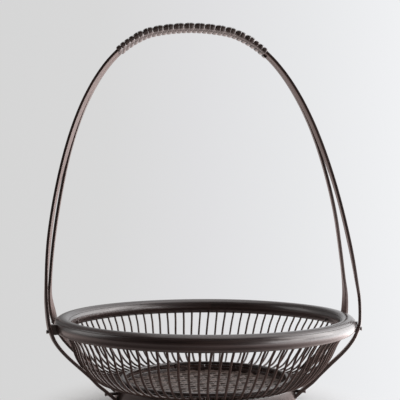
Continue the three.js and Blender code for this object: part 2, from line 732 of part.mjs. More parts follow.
const base = new THREE.Group();
place(base, "foot_ring", footRing(), lacqueredHoop);
place(base, "floor_ledge_hoop", ledgeHoop(), lacqueredHoop);
place(base, "floor_hoop", floorHoop(), lacqueredHoop);
place(base, "floor_batten_lower", batten(battenAngles[0], true), brownStrip);
place(base, "floor_batten_upper", batten(battenAngles[1], false), brownStrip);
place(base, "woven_floor", floorMat(), plaitedFloor);
basket.add(base);

const bowl = new THREE.Group();
const slatGeometry = slat();
for (let i = 0; i < SLATS; i++) {
  const number = String(i + 1).padStart(2, "0");
  const mesh = place(bowl, `spoke_slat_${number}`, slatGeometry, lacqueredSpoke);
  mesh.rotation.z = (2 * Math.PI * i) / SLATS;
}
basket.add(bowl);

const rim = new THREE.Group();
place(rim, "rim_cap_hoop", rimCapHoop(), lacqueredHoop);
place(rim, "rim_outer_hoop", rimOuterHoop(), lacqueredHoop);
place(rim, "rim_inner_hoop", rimInnerHoop(), lacqueredHoop);
basket.add(rim);

const handle = new THREE.Group();
place(handle, "handle_strip_front", handleStrip(-1), brownStrip);
place(handle, "handle_strip_rear", handleStrip(1), brownStrip);
const wrap = handleWrap();
place(handle, "handle_wrap", wrap.geometry, blackCane);
for (const leg of legs) {
  const rimHead = LEG_RIM_RADIUS + leg.standoff.rim + STRIP_THICKNESS / 2 + RIM_PEG_SEAT;
  const rimTip = RIM_RADIUS - RIM_WIDTH - PEG_PROJECTION;
  const footTip = FOOT_RADIUS - FOOT_PEG_DEPTH;
  const rimPeg = peg(rimHead, rimTip, RIM_PEG_LEVEL, leg.angle);
  const footPeg = peg(footPegHead(leg), footTip, FOOT_PEG_HEIGHT, leg.angle);
  place(handle, `rim_peg_${leg.name}`, rimPeg, darkPeg);
  place(handle, `foot_peg_${leg.name}`, footPeg, darkPeg);
}
basket.add(handle);

// The leaning arch reaches further to one side, so the whole basket moves to stand its outline over the origin
const bounds = new THREE.Box3().setFromObject(basket, true);
const middle = bounds.getCenter(new THREE.Vector3());
basket.position.set(-middle.x, -middle.y, -bounds.min.z);

console.log("least gap in the winding, mm:", leastSelfGap(wrap.rings, wrap.pointsPerLoop).toFixed(2));

export default basket;
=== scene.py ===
"""Looks of a round bamboo basket on a foot ring, with a tall arch handle of two strips.

Every piece is made in the part's frame: sizes are in millimetres round the basket's own
upright axis, and the meshes are written out in metres.
"""

from __future__ import annotations

import logging
import math
import random
from bisect import bisect_right
from collections.abc import Mapping, Sequence
from dataclasses import dataclass
from enum import Enum
from typing import TypeVar

import bmesh
import bpy
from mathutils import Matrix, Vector

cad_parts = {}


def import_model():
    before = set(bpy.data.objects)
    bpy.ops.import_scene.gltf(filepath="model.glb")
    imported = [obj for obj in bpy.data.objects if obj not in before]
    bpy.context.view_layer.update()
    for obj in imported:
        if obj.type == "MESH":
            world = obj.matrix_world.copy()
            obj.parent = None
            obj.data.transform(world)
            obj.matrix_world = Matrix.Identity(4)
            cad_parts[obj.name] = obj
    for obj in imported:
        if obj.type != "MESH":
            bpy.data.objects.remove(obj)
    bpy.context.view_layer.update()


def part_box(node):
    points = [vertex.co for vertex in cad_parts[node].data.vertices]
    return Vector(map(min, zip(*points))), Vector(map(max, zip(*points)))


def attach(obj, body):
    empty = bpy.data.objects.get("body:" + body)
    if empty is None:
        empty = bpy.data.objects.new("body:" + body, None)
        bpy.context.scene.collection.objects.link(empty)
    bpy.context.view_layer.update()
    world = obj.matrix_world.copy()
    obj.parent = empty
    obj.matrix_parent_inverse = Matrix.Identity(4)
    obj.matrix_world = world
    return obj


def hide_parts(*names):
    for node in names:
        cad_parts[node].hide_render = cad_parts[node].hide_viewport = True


LOG = logging.getLogger("basket")
METRES = 0.001  # one millimetre in metres
ROUND = 2 * math.pi
SHARP = math.radians(38)  # edges that turn by more stay sharp
WELD = 1e-6  # metres, points nearer than this are one
CORNER_SHARE = 0.48  # of an outline's edge, the most that a rounded corner takes

Colour = tuple[float, float, float]
Span = tuple[float, float]
Outline = Sequence[Span]
Window = tuple[float, float, float, float]
Ring = tuple[Sequence[Vector], Sequence[Vector]]  # points, and at each the place in the fibres
Socket = bpy.types.NodeSocket
Value = TypeVar("Value", float, Vector)


class Slot(Enum):
    """The record's material slots."""

    HOOP = "lacquered_hoop"
    SPOKE = "lacquered_spoke"
    STRIP = "brown_strip"
    FLOOR = "plaited_floor"
    CANE = "black_cane"
    PEG = "dark_peg"


class Side(Enum):
    """The two sides on which the handle comes down."""

    RIGHT = 1
    LEFT = -1


class Place(Enum):
    """Which of the handle's two strips."""

    FRONT = -1
    REAR = 1


# Small sums


def smoothstep(value: float, low: float, high: float) -> float:
    """An ease from 0 at the low value to 1 at the high one."""
    share = min(max((value - low) / (high - low), 0.0), 1.0)
    return share * share * (3 - 2 * share)


def within(value: float, window: Window) -> float:
    """An ease from 0 to 1 over the window's first two values, and back over its last two."""
    opens, full, ebbs, gone = window
    return smoothstep(value, opens, full) * smoothstep(gone - value, 0.0, gone - ebbs)


def turned(point: Vector, angle: float) -> Vector:
    """The point turned round the upright axis."""
    cos, sin = math.cos(angle), math.sin(angle)
    return Vector((point.x * cos - point.y * sin, point.x * sin + point.y * cos, point.z))


def circle(radius: float, sides: int) -> Outline:
    """The corners of a circle round nought."""
    return [(radius * math.cos(ROUND * k / sides), radius * math.sin(ROUND * k / sides)) for k in range(sides)]


def box(left: float, right: float, low: float, high: float) -> Outline:
    """The corners of a rectangle, counter-clockwise."""
    return [(left, low), (right, low), (right, high), (left, high)]


def interpolated(knots: Outline, level: float) -> Span:
    """The value and the slope at a level, by straight lines between [value, level] knots.

    Args:
        knots: The knots, upwards.
        level: The level.

    Returns:
        The value and the slope.
    """
    after = next(i for i, (_, height) in enumerate(knots) if height > level)
    (start, low), (end, high) = knots[after - 1 : after + 1]
    slope = (end - start) / (high - low)
    return start + slope * (level - low), slope


def hermite(start: Value, end: Value, leave: Value, reach: Value, share: float) -> Value:
    """A value between two, which leaves one and reaches the other at given rates."""
    bend, twist = 3 * (end - start) - 2 * leave - reach, 2 * (start - end) + leave + reach
    return start + leave * share + bend * share**2 + twist * share**3


def frame_at(along: Vector, turn: float) -> tuple[Vector, Vector]:
    """The directions across and out of the handle where it runs one way.

    Args:
        along: The way along.
        turn: How far the way across is turned from +Y, in radians.

    Returns:
        The unit vectors across and out.
    """
    across = Vector((math.sin(turn), math.cos(turn), 0))
    across = (across - along * across.dot(along)).normalized()
    return across, across.cross(along).normalized()


def softened(outline: Outline, radius: float, steps: int = 3, least: float = 35.0) -> Outline:
    """Round the sharp corners of a closed outline.

    Args:
        outline: The outline.
        radius: Radius of the rounding.
        steps: Points that each rounding gets beside its ends.
        least: Corners that turn by fewer degrees stay.

    Returns:
        The outline with its corners rounded.
    """
    result: list[Span] = []
    for i, corner in enumerate(outline):
        here = Vector(corner)
        before, after = Vector(outline[i - 1]) - here, Vector(outline[(i + 1) % len(outline)]) - here
        turn = math.pi - before.angle(after)
        if math.degrees(turn) < least:
            result.append(corner)
            continue
        back = min(radius * math.tan(turn / 2), CORNER_SHARE * min(before.length, after.length))
        start, end = here + before.normalized() * back, here + after.normalized() * back
        for step in range(steps + 2):
            t = step / (steps + 1)
            result.append(tuple(start * (1 - t) ** 2 + here * 2 * t * (1 - t) + end * t**2))
    return result


class Waver:
    """A smooth closed wave round a circle, for the small unevenness of hand-bent bamboo."""

    def __init__(self, seed: int, size: float, waves: int = 7) -> None:
        """Draw the waves.

        Args:
            seed: Seed of the draw.
            size: The greatest swing.
            waves: How many are summed.
        """
        draw = random.Random(seed)
        self.parts = [
            (k, size * draw.uniform(0.3, 1.0) / (waves * math.sqrt(k)) * 2, draw.uniform(0, ROUND))
            for k in range(2, 2 + waves)
        ]

    def at(self, angle: float) -> float:
        """The swing at an angle."""
        return sum(size * math.cos(k * angle + phase) for k, size, phase in self.parts)


class FairCurve:
    """A smooth curve through knots, spaced by the square root of their distances."""

    nudge: float = 0.0008  # of its length, to either side of a place, to tell its direction

    def __init__(self, knots: Sequence[Vector], dense: int = 12) -> None:
        """Measure the curve.

        Args:
            knots: The points that the curve goes through.
            dense: Measuring steps from knot to knot.
        """
        self.knots = knots
        self.params = [i / dense for i in range((len(knots) - 1) * dense + 1)]
        points = [self.point(param) for param in self.params]
        self.lengths = [0.0]
        for before, after in zip(points, points[1:]):
            self.lengths.append(self.lengths[-1] + (after - before).length)
        self.length = self.lengths[-1]

    def point(self, param: float) -> Vector:
        """The point at a parameter that counts knots.

        Args:
            param: 0 at the first knot, 1 at the second, and so on.

        Returns:
            The point.
        """
        i, share = self.place(param)
        b, c = self.knots[i : i + 2]
        a = self.knots[i - 1] if i > 0 else 2 * b - c
        d = self.knots[i + 2] if i + 2 < len(self.knots) else 2 * c - b
        before, here, after = ((q - p).length ** 0.5 for p, q in ((a, b), (b, c), (c, d)))
        leave = ((b - a) / before - (c - a) / (before + here) + (c - b) / here) * here
        reach = ((c - b) / here - (d - b) / (here + after) + (d - c) / after) * here
        return hermite(b, c, leave, reach, share)

    def place(self, param: float) -> tuple[int, float]:
        """The knot before a parameter, and the share of the way to the next one."""
        i = min(int(param), len(self.knots) - 2)
        return i, param - i

    def param_at(self, distance: float) -> float:
        """The parameter at a distance along the curve.

        Args:
            distance: How far from the first knot.

        Returns:
            The parameter that counts knots.
        """
        distance = min(max(distance, 0.0), self.length)
        high = min(bisect_right(self.lengths, distance), len(self.lengths) - 1)
        start, end = self.lengths[high - 1 : high + 1]
        share = (distance - start) / (end - start)
        return self.params[high - 1] + share * (self.params[high] - self.params[high - 1])

    def at(self, distance: float) -> Vector:
        """The point at a distance along the curve."""
        return self.point(self.param_at(distance))

    def along(self, distance: float) -> Vector:
        """The direction of the curve at a distance along it."""
        step = self.length * self.nudge
        return (self.at(distance + step) - self.at(distance - step)).normalized()


# Meshes


def creased(made: bmesh.types.BMesh, mesh: bpy.types.Mesh) -> None:
    """Leave only the sharp edges of a mesh sharp, and write it out.

    Args:
        made: The mesh while it is worked on, which is freed.
        mesh: Where it is written.
    """
    for edge in made.edges:
        edge.smooth = len(edge.link_faces) == 2 and edge.calc_face_angle(0.0) < SHARP
    made.to_mesh(mesh)
    made.free()


class MeshDraft:
    """The mesh of one piece while it is being made.

    Its grain is the place along, across and through the fibres at each vertex.
    """

    def __init__(self) -> None:
        """Start with nothing."""
        self.points: list[Vector] = []
        self.grain: list[Vector] = []
        self.faces: list[tuple[int, ...]] = []

    def skin(self, rings: Sequence[Ring]) -> MeshDraft:
        """Add a closed skin over rings with one count each.

        Args:
            rings: The points and the grain of each ring.

        Returns:
            The draft itself.
        """
        starts, sides = [], range(len(rings[0][0]))
        for points, grain in rings:
            starts.append(len(self.points))
            self.points.extend(points)
            self.grain.extend(grain)
        for here, there in zip(starts, starts[1:]):
            for side in sides:
                after = (side + 1) % len(sides)
                self.faces.append((here + side, here + after, there + after, there + side))
        self.faces.append(tuple(starts[0] + side for side in reversed(sides)))
        self.faces.append(tuple(starts[-1] + side for side in sides))
        return self

    def build(self, name: str, axis: Vector) -> bpy.types.Object:
        """Make the object.

        Args:
            name: The object's name.
            axis: A point on the basket's upright axis, in metres.

        Returns:
            The object, linked to the scene.
        """
        mesh = bpy.data.meshes.new(name)
        shift = Vector((axis.x, axis.y, 0))
        mesh.from_pydata([point * METRES + shift for point in self.points], [], self.faces)
        grain = mesh.attributes.new("grain", "FLOAT_VECTOR", "POINT")
        grain.data.foreach_set("vector", [value * METRES for point in self.grain for value in point])
        made = bmesh.new()
        made.from_mesh(mesh)
        bmesh.ops.remove_doubles(made, verts=made.verts, dist=WELD)
        bmesh.ops.recalc_face_normals(made, faces=made.faces)
        for face in made.faces:
            face.smooth = True
        creased(made, mesh)
        piece = bpy.data.objects.new(name, mesh)
        bpy.context.scene.collection.objects.link(piece)
        return piece


# Finishes


class NodeBench:
    """A short hand for wiring the nodes of one tree."""

    def __init__(self, owner: bpy.types.Material | bpy.types.World) -> None:
        """Start with an empty tree.

        Args:
            owner: The material or world that the tree belongs to.
        """
        owner.use_nodes = True
        self.tree = owner.node_tree
        self.tree.nodes.clear()

    def add(self, kind: str, inputs: Mapping[str | int, object] | None = None, **settings: object) -> bpy.types.Node:
        """Add a node.

        Args:
            kind: The node's type.
            inputs: For each input a socket to link or a value to set.
            **settings: The node's properties.

        Returns:
            The node.
        """
        node = self.tree.nodes.new(f"ShaderNode{kind}")
        for key, value in settings.items():
            setattr(node, key, value)
        for key, value in (inputs or {}).items():
            if isinstance(value, Socket):
                self.tree.links.new(value, node.inputs[key])
            else:
                node.inputs[key].default_value = value
        return node

    def part(self, vector: Socket, axis: str) -> Socket:
        """The part of a vector along one axis."""
        return self.add("SeparateXYZ", {0: vector}).outputs[axis]

    def sum(self, kind: str, first: object, second: object) -> Socket:
        """A sum such as MULTIPLY of two sockets or numbers."""
        return self.add("Math", {0: first, 1: second}, operation=kind).outputs[0]

    def mixed(self, share: Socket, first: bpy.types.Node, second: bpy.types.Node) -> bpy.types.Node:
        """A mix of two shaders."""
        return self.add("MixShader", {0: share, 1: first.outputs[0], 2: second.outputs[0]})

    def ramp(self, factor: Socket, stops: Sequence[tuple[float, Colour]]) -> Socket:
        """Colours by a factor.

        Args:
            factor: The socket that gives the factor.
            stops: Positions and colours.

        Returns:
            The colour socket.
        """
        node = self.add("ValToRGB", {"Fac": factor})
        elements = node.color_ramp.elements
        while len(elements) < len(stops):
            elements.new(1.0)
        for element, (position, colour) in zip(elements, stops):
            element.position, element.color = position, (*colour, 1)
        return node.outputs["Color"]

    def noise(self, grain: Socket, length: float, width: float, detail: float) -> Socket:
        """Noise drawn out along the fibres.

        Args:
            grain: The place in the fibres.
            length: Length of a mark in millimetres.
            width: Width of a mark.
            detail: Detail of the noise.

        Returns:
            The noise's socket.
        """
        scale = tuple(1 / METRES / size for size in (length, width, width))
        stretch = self.add("Mapping", {"Vector": grain, "Scale": scale})
        return self.add("TexNoise", {"Vector": stretch.outputs[0], "Scale": 1.0, "Detail": detail}).outputs["Fac"]

    def remap(self, value: Socket, source: Span, target: Span, smooth: bool = False) -> Socket:
        """Carry a value from one range to another.

        Args:
            value: The socket that gives the value.
            source: The range that it comes from.
            target: The range that it goes to.
            smooth: Whether it eases in and out.

        Returns:
            The new value's socket.
        """
        ends = zip(("From Min", "From Max", "To Min", "To Max"), (*source, *target))
        kind = "SMOOTHSTEP" if smooth else "LINEAR"
        return self.add("MapRange", {"Value": value, **dict(ends)}, interpolation_type=kind).outputs["Result"]


@dataclass(frozen=True)
class Lacquer:
    """Dark lacquer over bamboo whose fibres show through it."""

    name: str
    slot: Slot
    deep: Colour
    warm: Colour
    roughness: float = 0.34
    rough_swing: float = 0.1
    coat: float = 0.5
    coat_roughness: float = 0.16
    streak_width: float = 1.1
    streak_length: float = 60.0
    patch_length: float = 42.0
    patch_width: float = 9.0
    fibre_size: Span = (0.5, 0.28)  # length and width of the fibres, as shares of the streaks'
    mottle: float = 0.35  # share of the patches beside the streaks
    stops: tuple[float, float, float] = (0.32, 0.52, 0.7)  # of the marks, from the deep colour to the warm one
    rough_stops: Span = (0.3, 0.7)  # of the streaks, between which the roughness rises
    refraction: float = 1.5
    relief: float = 0.25
    relief_height: float = 0.12
    tint: Colour = (1.0, 0.86, 0.82)
    inner: Colour | None = None  # of the bare inner face of a split strip
    inner_dulling: float = 0.6  # of that colour in its dark streaks
    inner_stops: Span = (0.3, 0.65)  # of the streaks, from the dull colour to the full one
    inner_depth: Span = (0.0, 0.0)  # from the strip's middle inwards, where that face starts and is full

    def material(self) -> bpy.types.Material:
        """The finish's material, made once.

        Returns:
            The material.
        """
        known = bpy.data.materials.get(self.name)
        if known:
            return known
        made = bpy.data.materials.new(self.name)
        bench = NodeBench(made)
        grain = bench.add("Attribute", attribute_type="GEOMETRY", attribute_name="grain").outputs["Vector"]
        streaks = bench.noise(grain, self.streak_length, self.streak_width, 4.0)
        length, width = self.fibre_size
        fibres = bench.noise(grain, self.streak_length * length, self.streak_width * width, 2.0)
        patches = bench.noise(grain, self.patch_length, self.patch_width, 2.0)
        streaky = bench.sum("MULTIPLY", streaks, 1 - self.mottle)
        marks = bench.sum("ADD", streaky, bench.sum("MULTIPLY", patches, self.mottle))
        middle: Colour = tuple((a + b) / 2 for a, b in zip(self.deep, self.warm))  # type: ignore[assignment]
        colour = bench.ramp(marks, list(zip(self.stops, (self.deep, middle, self.warm))))
        if self.inner:
            start, full = (-depth * METRES for depth in self.inner_depth)
            share = bench.remap(bench.part(grain, "Z"), (start, full), (0.0, 1.0), smooth=True)
            dull: Colour = tuple(value * self.inner_dulling for value in self.inner)  # type: ignore[assignment]
            bare = bench.ramp(streaks, list(zip(self.inner_stops, (dull, self.inner))))
            colour = bench.add("Mix", {"Factor": share, 6: colour, 7: bare}, data_type="RGBA").outputs[2]
        swing = self.rough_swing / 2
        rough = bench.remap(streaks, self.rough_stops, (self.roughness - swing, self.roughness + swing))
        height = bench.sum("ADD", fibres, streaks)
        bump = bench.add("Bump", {"Strength": self.relief, "Distance": self.relief_height * METRES, "Height": height})
        shader = bench.add(
            "BsdfPrincipled",
            {
                "Base Color": colour, "Roughness": rough, "Normal": bump.outputs["Normal"], "IOR": self.refraction,
                "Specular Tint": (*self.tint, 1), "Coat Weight": self.coat, "Coat Roughness": self.coat_roughness,
            },
        )
        bench.add("OutputMaterial", {"Surface": shader.outputs[0]})
        return made

    def dress(self, piece: bpy.types.Object) -> None:
        """Give a piece this finish.

        Args:
            piece: The piece.
        """
        piece.data.materials.clear()
        piece.data.materials.append(self.material())


HOOP_LACQUER = Lacquer(
    "hoop lacquer", Slot.HOOP, (0.006, 0.0028, 0.0023), (0.024, 0.011, 0.009), roughness=0.36, tint=(1.0, 0.93, 0.92)
)
SPOKE_LACQUER = Lacquer(
    "spoke lacquer", Slot.SPOKE, (0.009, 0.004, 0.0032), (0.043, 0.021, 0.0155), roughness=0.42, coat=0.2,
    streak_width=0.6,
)
STRIP_LACQUER = Lacquer(
    "strip lacquer", Slot.STRIP, (0.006, 0.0035, 0.003), (0.024, 0.012, 0.01), coat=0.25, streak_width=0.9,
    inner=(0.1, 0.057, 0.048), inner_depth=(1.1, 1.5),
)
FLOOR_LACQUER = Lacquer(
    "floor lacquer", Slot.FLOOR, (0.05, 0.035, 0.03), (0.17, 0.125, 0.108), roughness=0.42, coat=0.25,
    streak_width=0.5, streak_length=25.0, relief=0.4,
)
CANE_LACQUER = Lacquer(
    "cane lacquer", Slot.CANE, (0.006, 0.0045, 0.004), (0.045, 0.027, 0.023), roughness=0.22, coat=1.0,
    coat_roughness=0.2, streak_width=0.7, streak_length=18.0,
)
PEG_LACQUER = Lacquer("peg lacquer", Slot.PEG, (0.008, 0.005, 0.004), (0.028, 0.016, 0.013), roughness=0.4, coat=0.3)


@dataclass
class Basket:
    """What every sub-assembly needs to know of the whole."""

    axis: Vector  # a point on the upright axis, in metres
    body: str = "root"
    pieces: int = 0

    def keep(self, draft: MeshDraft, node: str, finish: Lacquer) -> None:
        """Make the dressed piece that stands for a node."""
        self.keep_piece(draft.build(f"vis_{node}", self.axis), node, finish)

    def keep_piece(self, piece: bpy.types.Object, node: str, finish: Lacquer) -> None:
        """Dress a piece and let it stand for a node.

        Args:
            piece: The piece.
            node: The part's node.
            finish: The piece's finish.
        """
        finish.dress(piece)
        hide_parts(node)
        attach(piece, self.body)
        self.pieces += 1
        LOG.info("%s: %d faces, stands for %s", piece.name, len(piece.data.polygons), node)


# Hoops


@dataclass
class Hoop:
    """A bent hoop whose two ends meet in a skived joint."""

    outline: Outline  # [radius, height] points, counter-clockwise
    joint_angle: float  # where the ends meet, in degrees round the axis
    soften: float
    waver: Waver
    rise: Waver | None = None
    joint_slope: float = math.radians(35)
    joint_gap: float = 0.3
    steps: int = 216

    def draft(self) -> MeshDraft:
        """The hoop's mesh.

        Returns:
            The draft.
        """
        outline = softened(self.outline, self.soften)
        radii = [radius for radius, _ in outline]
        middle = (min(radii) + max(radii)) / 2
        start, gap, skive = math.radians(self.joint_angle), self.joint_gap / middle, math.tan(self.joint_slope)
        rings = []
        for i in range(self.steps + 1):
            angle = start + gap / 2 + (ROUND - gap) * i / self.steps
            points = []
            for radius, height in outline:
                here = angle - (radius - middle) * skive / radius
                reach = radius + self.waver.at(here)
                level = height + (self.rise.at(here) if self.rise else 0.0)
                points.append(Vector((reach * math.cos(here), reach * math.sin(here), level)))
            rings.append((points, [Vector(((angle - start) * middle, *place)) for place in outline]))
        return MeshDraft().skin(rings)


@dataclass
class Rim:
    """The rim: a cap hoop over an outer and an inner hoop, with the spokes' tops between them."""

    radius: float = 141.6  # of the middle of its section
    level: float = 82.5
    half_width: float = 8.4
    half_height: float = 7.8
    seam_rise: float = 4.6
    seam_gap: float = 0.14
    slot_foot: float = -3.6
    slot_head: float = -0.9
    slot_half: float = 1.3
    soften: float = 0.22
    arc_steps: int = 16
    steps: int = 288
    joints: tuple[float, float, float] = (68.0, 104.0, 86.0)  # of the cap, the outer and the inner hoop
    wavers: tuple[tuple[int, float], tuple[int, float]] = ((11, 0.35), (12, 0.3))  # seeds and swings, out and up
    rounds: int = 20  # of the search for the place where the slot comes out

    def point(self, angle: float) -> tuple[float, float]:
        """A point of the oval section at an angle from its outermost point."""
        return self.radius + self.half_width * math.cos(angle), self.level + self.half_height * math.sin(angle)

    def arc(self, start: float, end: float) -> Outline:
        """Points of the oval from one angle to another."""
        return [self.point(start + (end - start) * i / self.arc_steps) for i in range(self.arc_steps + 1)]

    def wall(self, rise: float, side: int) -> tuple[float, float]:
        """A point of a wall of the slot.

        Args:
            rise: Height over the middle of the rim.
            side: 1 for the outer wall, -1 for the inner one.

        Returns:
            The radius and the height.
        """
        slope = (self.slot_head - self.slot_foot) / (self.seam_rise + self.half_height)
        offset = self.slot_foot + slope * (rise + self.half_height) + side * self.slot_half
        return self.radius + offset, self.level + rise

    def underside_angle(self, side: int) -> float:
        """The oval's angle where a wall of the slot comes out at the underside.

        Args:
            side: 1 for the outer wall, -1 for the inner one.

        Returns:
            The angle in radians.
        """
        angle = -math.pi / 2
        for _ in range(self.rounds):
            radius, height = self.point(angle)
            angle += (self.wall(height - self.level, side)[0] - radius) / self.half_width
        return angle

    def build(self, basket: Basket) -> None:
        """Make the three hoops.

        Args:
            basket: The whole.
        """
        rise = self.seam_rise - self.seam_gap / 2
        upper = math.asin((self.seam_rise + self.seam_gap / 2) / self.half_height)
        lower = math.asin(rise / self.half_height)
        waver, lift = (Waver(seed, size) for seed, size in self.wavers)
        outlines = {
            "cap": self.arc(upper, math.pi - upper),
            "outer": self.arc(self.underside_angle(1), lower) + [self.wall(rise, 1)],
            "inner": self.arc(math.pi - lower, ROUND + self.underside_angle(-1)) + [self.wall(rise, -1)],
        }
        for (name, outline), joint in zip(outlines.items(), self.joints):
            hoop = Hoop(outline, joint, self.soften, waver, lift, steps=self.steps)
            basket.keep(hoop.draft(), f"rim_{name}_hoop", HOOP_LACQUER)


@dataclass
class Foot:
    """The foot ring and the two hoops that clamp the slats' roots."""

    height: float = 22.5
    radius: float = 90.5
    thickness: float = 5.3
    hoop_inner: float = 80.6
    hoop_outer: float = 84.9
    hoop_bottom: float = 25.3
    hoop_top: float = 28.5
    ledge_radius: float = 77.6
    ledge_bottom: float = 11.5
    ledge_top: float = 18.2
    unevenness: float = 0.12

    def build(self, basket: Basket) -> None:
        """Make the three hoops.

        Args:
            basket: The whole.
        """
        outer_side = box(self.ledge_radius, self.hoop_outer, self.ledge_bottom, self.height)[:3]
        inner_side = [(self.hoop_inner, z) for z in (self.height, self.ledge_top)]
        ledge = [*outer_side, *inner_side, (self.ledge_radius, self.ledge_top)]
        for name, outline, joint, soften in (  # with the angle of each joint and the rounding of the corners
            ("foot_ring", box(self.radius - self.thickness, self.radius, 0.0, self.height), 118.0, 1.3),
            ("floor_hoop", box(self.hoop_inner, self.hoop_outer, self.hoop_bottom, self.hoop_top), 76.0, 1.4),
            ("floor_ledge_hoop", ledge, 97.0, 0.6),
        ):
            hoop = Hoop(outline, joint, soften, Waver(len(name), self.unevenness))
            basket.keep(hoop.draft(), name, HOOP_LACQUER)


# Slats


@dataclass
class Slats:
    """Thirty flat slats, each split in three round spokes from its root up to the rim."""

    count: int = 30
    per_slat: int = 3
    diameter: float = 2.4
    unevenness: Span = (0.93, 1.05)  # of the diameter
    side_thinning: float = 0.17  # share by which the spokes at both sides are thinner
    sides: int = 10
    steps: int = 34
    root_start: float = 80.9
    root_end: float = 86.2
    root_bottom: float = 22.8
    root_top: float = 25.0
    root_gap: float = 0.24  # between neighbouring roots
    root_soften: float = 0.7
    root_ease: tuple[Span, Span] = ((0.4, 0.94), (0.5, 0.9))  # of its two ends: length, and what width is left
    start: Span = (-2.15, 0.3)  # of the spoke's line, from the root's end
    slot_foot: Span = (138.0, 74.7)
    top: Span = (140.55, 86.65)
    shares: Outline = ((0.12, 0.01), (0.375, 0.085), (0.605, 0.278), (0.775, 0.524), (0.903, 0.835))
    shift: float = 2.2  # of the middle of the spokes towards the left, as bent by hand
    stray: float = 0.22  # degrees that a spoke strays at mid height
    sway: float = 0.18  # how far it sways outwards there
    bulge_end: float = 0.9  # the share of its length at which that is over
    bulge_power: float = 1.4
    slat_shift: float = 11.0  # of the grain from slat to slat
    spoke_shift: float = 3.7
    seed: int = 5

    @property
    def level(self) -> float:
        """Height of the middle of the roots."""
        return (self.root_bottom + self.root_top) / 2

    def line(self) -> Outline:
        """The middle line of a spoke.

        Returns:
            Its knots as [radius, height].
        """
        run, rise = self.slot_foot[0] - self.root_end, self.slot_foot[1] - self.level
        start = [(self.root_end + out, self.level) for out in self.start]
        side = [(self.root_end + run * out, self.level + rise * up) for out, up in self.shares]
        return [*start, *side, self.slot_foot, self.top]

    def spoke(self, curve: FairCurve, angle: float, draw: random.Random, offset: float) -> list[Ring]:
        """One spoke.

        Args:
            curve: The middle line of a spoke.
            angle: The spoke's angle round the axis.
            draw: The draw of its unevenness.
            offset: A shift of its grain, so that no two look the same.

        Returns:
            Its rings.
        """
        stray = math.radians(draw.uniform(-self.stray, self.stray))
        sway = draw.uniform(-self.sway, self.sway)
        thick = self.diameter / 2 * draw.uniform(*self.unevenness) * (1 - self.side_thinning * abs(math.cos(angle)))
        across = Vector((0, 1, 0))
        rings = []
        for i in range(self.steps + 1):
            share = i / self.steps
            distance = curve.length * share
            up = curve.along(distance).cross(across)
            bulge = math.sin(math.pi * min(share / self.bulge_end, 1.0)) ** self.bulge_power
            centre = curve.at(distance) + up * sway * bulge
            shift = Vector((self.shift * bulge, 0, 0))
            section = [(w, t) for t, w in circle(thick, self.sides)]
            points = [turned(centre + across * w + up * t, angle + stray * bulge) - shift for w, t in section]
            rings.append((points, [Vector((distance + offset, w, t + offset)) for w, t in section]))
        return rings

    def root(self, angle: float, offset: float) -> list[Ring]:
        """The unsplit root of a slat.

        Args:
            angle: The slat's angle round the axis.
            offset: A shift of its grain.

        Returns:
            Its rings.
        """
        rings = []
        start, end, (inwards, narrow), (outwards, narrower) = self.root_start, self.root_end, *self.root_ease
        for reach, shrink in ((start, narrow), (start + inwards, 1), (end - outwards, 1), (end, narrower)):
            half = reach * math.tan(math.pi / self.count) - self.root_gap / 2
            section = softened(box(-half, half, self.root_bottom, self.root_top), self.root_soften)
            flat = [Vector((reach, w * shrink, self.level + (z - self.level) * shrink)) for w, z in section]
            grain = [Vector((reach + offset, w, z + offset)) for w, z in section]
            rings.append(([turned(point, angle) for point in flat], grain))
        return rings

    def build(self, basket: Basket) -> None:
        """Make all the slats.

        Args:
            basket: The whole.
        """
        draw = random.Random(self.seed)
        curve = FairCurve([Vector((radius, 0, height)) for radius, height in self.line()], dense=6)
        step = ROUND / (self.count * self.per_slat)
        for i in range(self.count):
            angle, offset = ROUND * i / self.count, self.slat_shift * i
            draft = MeshDraft().skin(self.root(angle, offset))
            for k in range(self.per_slat):
                turn = angle + (k - (self.per_slat - 1) / 2) * step
                draft.skin(self.spoke(curve, turn, draw, offset + self.spoke_shift * k))
            basket.keep(draft, f"spoke_slat_{i + 1:02d}", SPOKE_LACQUER)


# Floor


